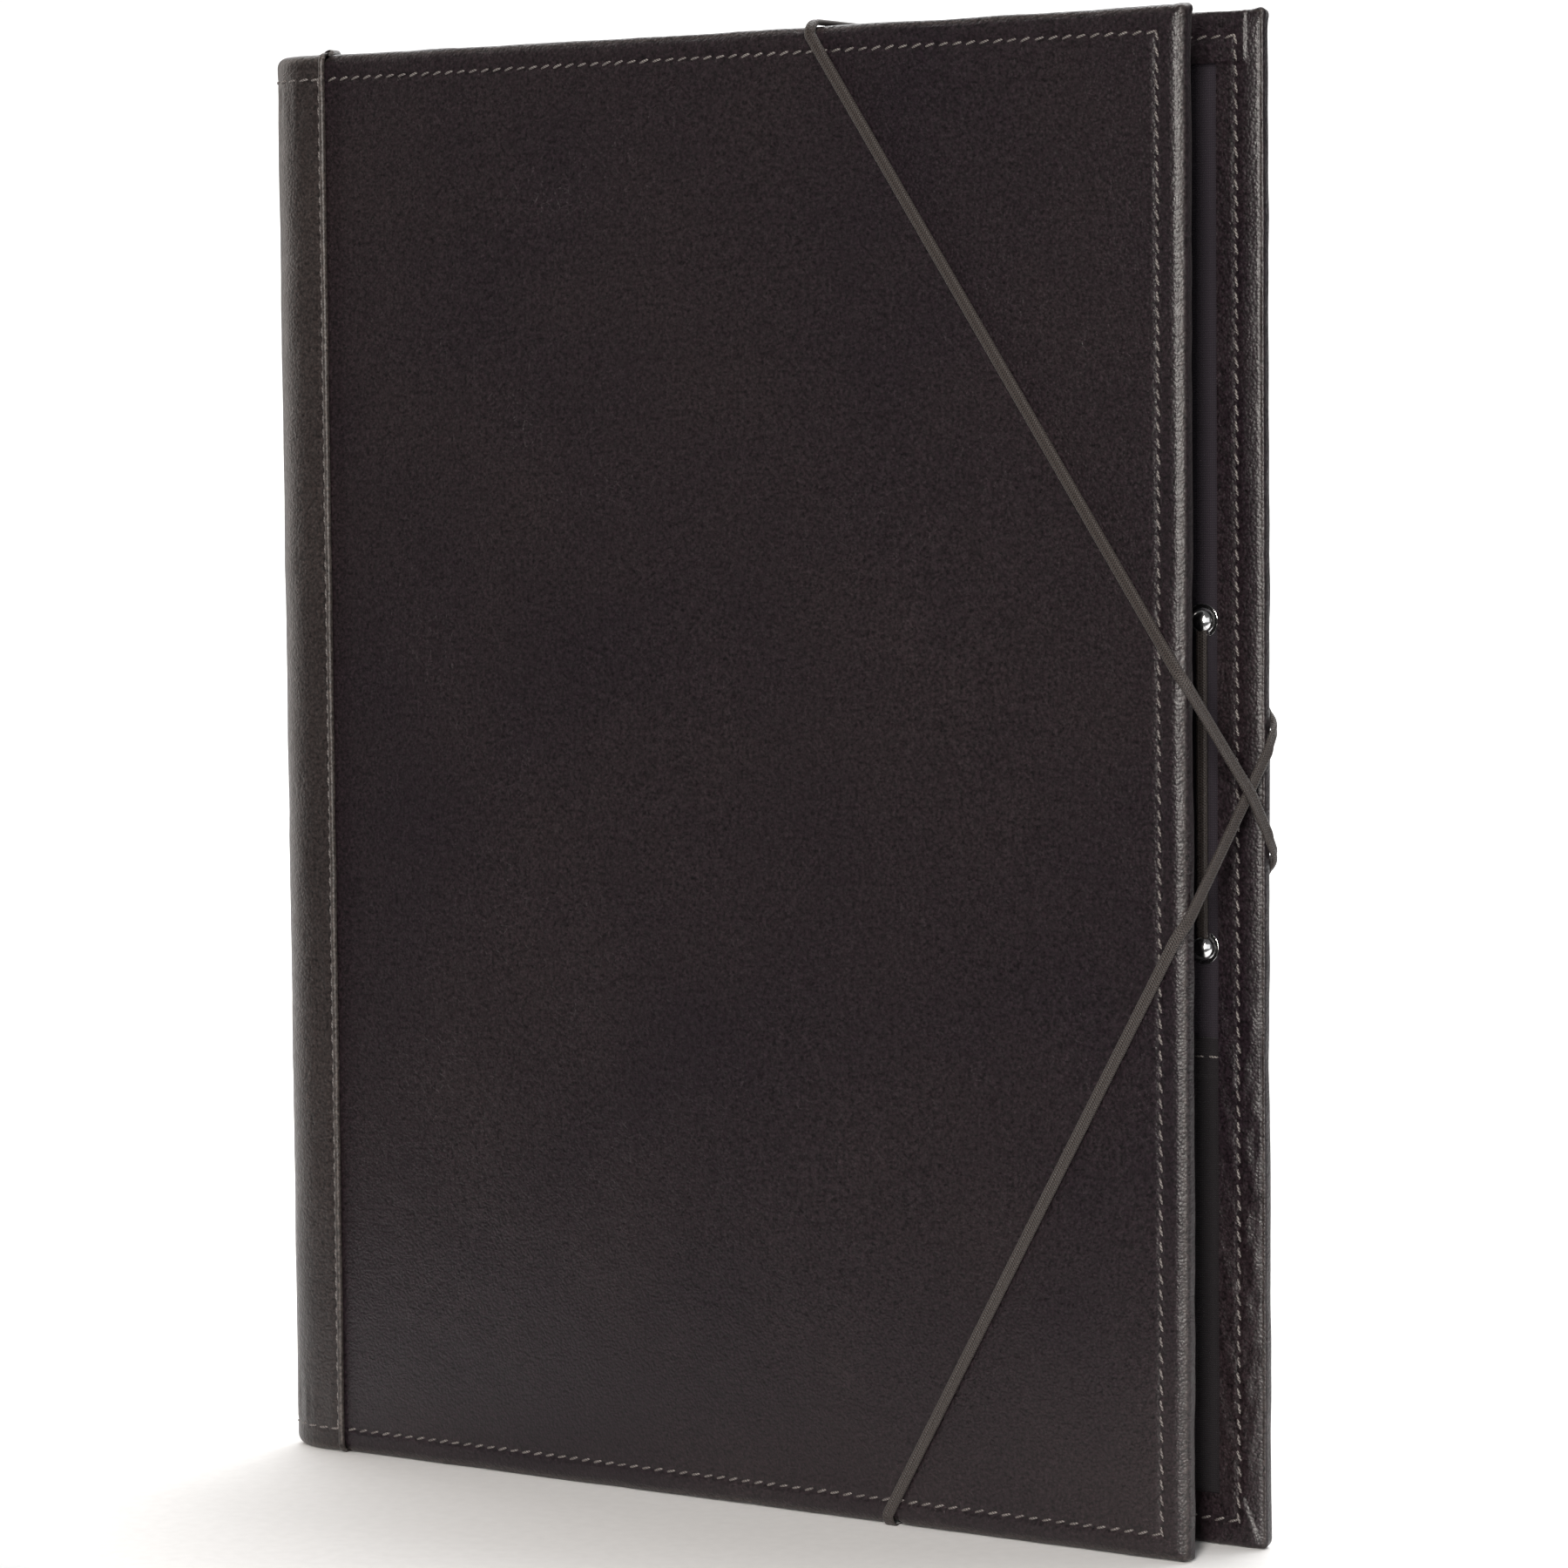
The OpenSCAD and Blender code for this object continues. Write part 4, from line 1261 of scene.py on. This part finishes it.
# %% Sweeping the two-lobed section
def filled(stations, step=2.5):
    """More stations on the straight runs."""
    points, facings = [stations[0][0]], [stations[0][1]]
    for (p, f), (q, g) in zip(stations, stations[1:]):
        count = max(1, round(float(np.linalg.norm(q - p)) / step))
        for s in np.arange(1, count + 1) / count:
            points.append(p + (q - p) * s)
            facings.append(f + (g - f) * s)
    return np.array(points), np.array(facings)


def eased(values, passes):
    """Softens the corners between runs, and keeps both ends."""
    for _ in range(passes):
        values[1:-1] = values[1:-1] * 0.5 + (values[:-2] + values[2:]) * 0.25
    return values


def lobes(width, thickness, sides=20):
    section = []
    for k in range(sides):
        a = 2 * math.pi * k / sides
        across = width / 2 * math.copysign(abs(math.cos(a)) ** 0.8, math.cos(a))
        over = thickness / 2 * math.copysign(abs(math.sin(a)) ** 0.75, math.sin(a))
        section.append((across, over * (1 - 0.3 * math.exp(-((across / 0.3) ** 2)))))
    return np.array(section)


def band(name, stations, thickness=BAND_T, flat_run=None):
    points, facings = filled(stations)
    eased(facings, 3)
    tangent = np.gradient(points, axis=0)
    tangent /= np.linalg.norm(tangent, axis=1, keepdims=True)
    side_way = np.cross(tangent, facings)
    side_way /= np.linalg.norm(side_way, axis=1, keepdims=True)
    facings = np.cross(side_way, tangent)
    section = lobes(BAND_W, thickness)
    length = np.concatenate([[0], np.cumsum(np.linalg.norm(np.diff(points, axis=0), axis=1))])
    thin = np.ones(len(points)) if flat_run is None else flat_run(points)
    sides = len(section)
    rings = [
        p + np.outer(section[:, 0], s) + np.outer(section[:, 1] * t, f)
        for p, s, f, t in zip(points, side_way, facings, thin)
    ]
    rings = [np.vstack([ring, ring[:1]]) for ring in rings]
    uv = [[(k / sides * 6.6 * MM, run * MM) for k in range(sides + 1)] for run in length]
    faces = [tuple(face) for face in grid_faces(len(rings), sides + 1)]
    last = (len(rings) - 1) * (sides + 1)
    faces += [tuple(range(sides - 1, -1, -1)), tuple(last + k for k in range(sides))]
    world = (np.concatenate(rings) + (spine_x, mid_y, 0)) * MM
    piece = make_piece(name, world, faces, elastic_braid, uv=np.array(uv).reshape(-1, 2), sharp=60)
    print(name, "length", round(float(length[-1]), 1), "mm")
    return outward(piece)


# %% The outer strands and the strand inside
def pressed_thin(points):
    """The band is squeezed thinner where the cover stands on it."""
    return 1 - 0.5 * (1 - ramp(0.3, 4, points[:, 2]))


upper = strand(1, UPPER_DZ, UPPER_CROSS, BAND_T + 0.25, 0)
lower = strand(-1, LOWER_DZ, LOWER_CROSS, 0.0, PRESS - 0.31)
outer_band = band("elastic_band", upper + lower[-2::-1], flat_run=pressed_thin)
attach(outer_band, "rear_cover")
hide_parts("elastic_upper", "elastic_lower")


def inside_strand():
    y = half_t - lining_depth - INSIDE_LIFT - BAND_T / 2 + INSIDE_BEND_R
    stations = []
    for up, z in ((1, EYELET_Z[0]), (-1, EYELET_Z[1])):
        run = [(np.array([EYELET_X, eye_y, z]), -Z * up)]
        for a in np.radians(np.linspace(0, 90, 8)):
            in_y, along_z = y - INSIDE_BEND_R * math.sin(a), up * INSIDE_BEND_R * (1 - math.cos(a))
            run.append((np.array([EYELET_X, in_y, z + along_z]), -Z * up * math.cos(a) - Y * math.sin(a)))
        stations += run if up > 0 else run[::-1]
    return stations


inner_band = band("elastic_inside", inside_strand())
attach(inner_band, "rear_cover")
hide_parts("elastic_inner")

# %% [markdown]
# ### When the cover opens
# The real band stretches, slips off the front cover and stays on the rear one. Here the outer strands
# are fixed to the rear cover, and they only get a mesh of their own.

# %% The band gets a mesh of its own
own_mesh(outer_band)

# %% [markdown]
# ## The studio
# A pale sweep stands for table and wall. Dark leather shows its shape by what it reflects, so the paper
# ends shortly before the cover, and the room in front is dim: the panel stays dark, and grows lighter
# only near the table. A tall strip in front draws the line along the padded edges, a broad one in front
# of the fore-edge fills the open side, one overhead keeps the paper white, and one lights the spine.

# %% Floor and wall in one sweep
def paper_sweep():
    floor_z, wall_y, bend_r = cad_box[0][2] - 0.0001, 2.4, 0.9
    left, right, paper_end = -5.0, 0.6, -0.14
    section = [(paper_end, floor_z)]
    section += [
        (wall_y - bend_r + bend_r * math.sin(a), floor_z + bend_r * (1 - math.cos(a)))
        for a in np.radians(np.linspace(0, 90, 17))
    ]
    section.append((wall_y, 4.0))
    points = [(x, y, z) for x in (left, right) for y, z in section]
    faces = grid_faces(2, len(section))
    paper = Finish("pale_paper")
    speck = paper.noise(paper.coordinates(), 3, 4.0)
    paper.link(paper.blend(paper.levels(speck, 0.3, 0.7), (0.86, 0.86, 0.86), (0.9, 0.9, 0.9)), "Base Color")
    paper.set(Roughness=0.95, Specular_IOR_Level=0.1)
    return make_piece("paper_sweep", points, faces, paper.material, sharp=80)


sweep = paper_sweep()


# %% Lights
def soft_light(name, place, target, size, power, colour=(1, 1, 1)):
    lamp = bpy.data.lights.new(name, "AREA")
    lamp.shape = "RECTANGLE"
    lamp.size, lamp.size_y = size
    lamp.energy = power
    lamp.color = colour
    light = bpy.data.objects.new(name, lamp)
    light.location = place
    light.rotation_euler = (Vector(target) - Vector(place)).to_track_quat("-Z", "Y").to_euler()
    light.visible_camera = False
    bpy.context.scene.collection.objects.link(light)
    return light


middle = (0, 0, height / 2 * MM)
soft_light("overhead", (-0.5, 1.65, 2.3), (-0.5, 1.65, 0), (4.0, 2.6), 156)
soft_light("front_strip", (0.72, -1.5, 0.6), middle, (0.28, 1.3), 40, (1, 0.95, 0.9))
soft_light("fore_edge", (1.45, -1.22, 0.42), middle, (1.5, 1.2), 5)
soft_light("spine_side", (-1.35, -0.05, 0.5), middle, (0.9, 1.4), 8, (1, 0.93, 0.88))


def studio_room(for_light, for_eye):
    """A plain room: dim where it lights and mirrors in the leather, pale where it is looked at."""
    world = bpy.data.worlds.new("studio_room")
    bpy.context.scene.world = world
    world.use_nodes = True
    nodes, wires = world.node_tree.nodes, world.node_tree.links
    seen = nodes.new("ShaderNodeLightPath").outputs["Is Camera Ray"]
    level = nodes.new("ShaderNodeMapRange")
    level.inputs["To Min"].default_value = for_light
    level.inputs["To Max"].default_value = for_eye
    wires.new(seen, level.inputs["Value"])
    wires.new(level.outputs["Result"], nodes["Background"].inputs["Strength"])
    nodes["Background"].inputs["Color"].default_value = (1, 1, 1, 1)


studio_room(0.1, 1.0)
bpy.context.scene.view_settings.view_transform = "Standard"

# %% [markdown]
# ## The camera
# A long lens from just above mid-height, turned about a third of the way from the front cover towards
# the fore-edge, so that both the front and the open edge show.

# %% Camera
CAMERA_AT = Vector((0.6286, -0.9225, 0.2358))
LOOK = Vector((-0.5565, 0.8279, -0.0703)).normalized()
ROLL = math.radians(-0.5)

right = LOOK.cross(Vector((0, 0, 1))).normalized()
above = right.cross(LOOK)
rolled_right = right * math.cos(ROLL) + above * math.sin(ROLL)
rolled_above = above * math.cos(ROLL) - right * math.sin(ROLL)
lens = bpy.data.cameras.new("camera")
lens.lens = 117.3
lens.sensor_width = 36
camera = bpy.data.objects.new("camera", lens)
axes = Matrix((rolled_right, rolled_above, -LOOK)).transposed()
camera.matrix_world = Matrix.Translation(CAMERA_AT) @ axes.to_4x4()
bpy.context.scene.collection.objects.link(camera)
bpy.context.scene.camera = camera

# %% Print the measured box
print("measured box", cad_box)
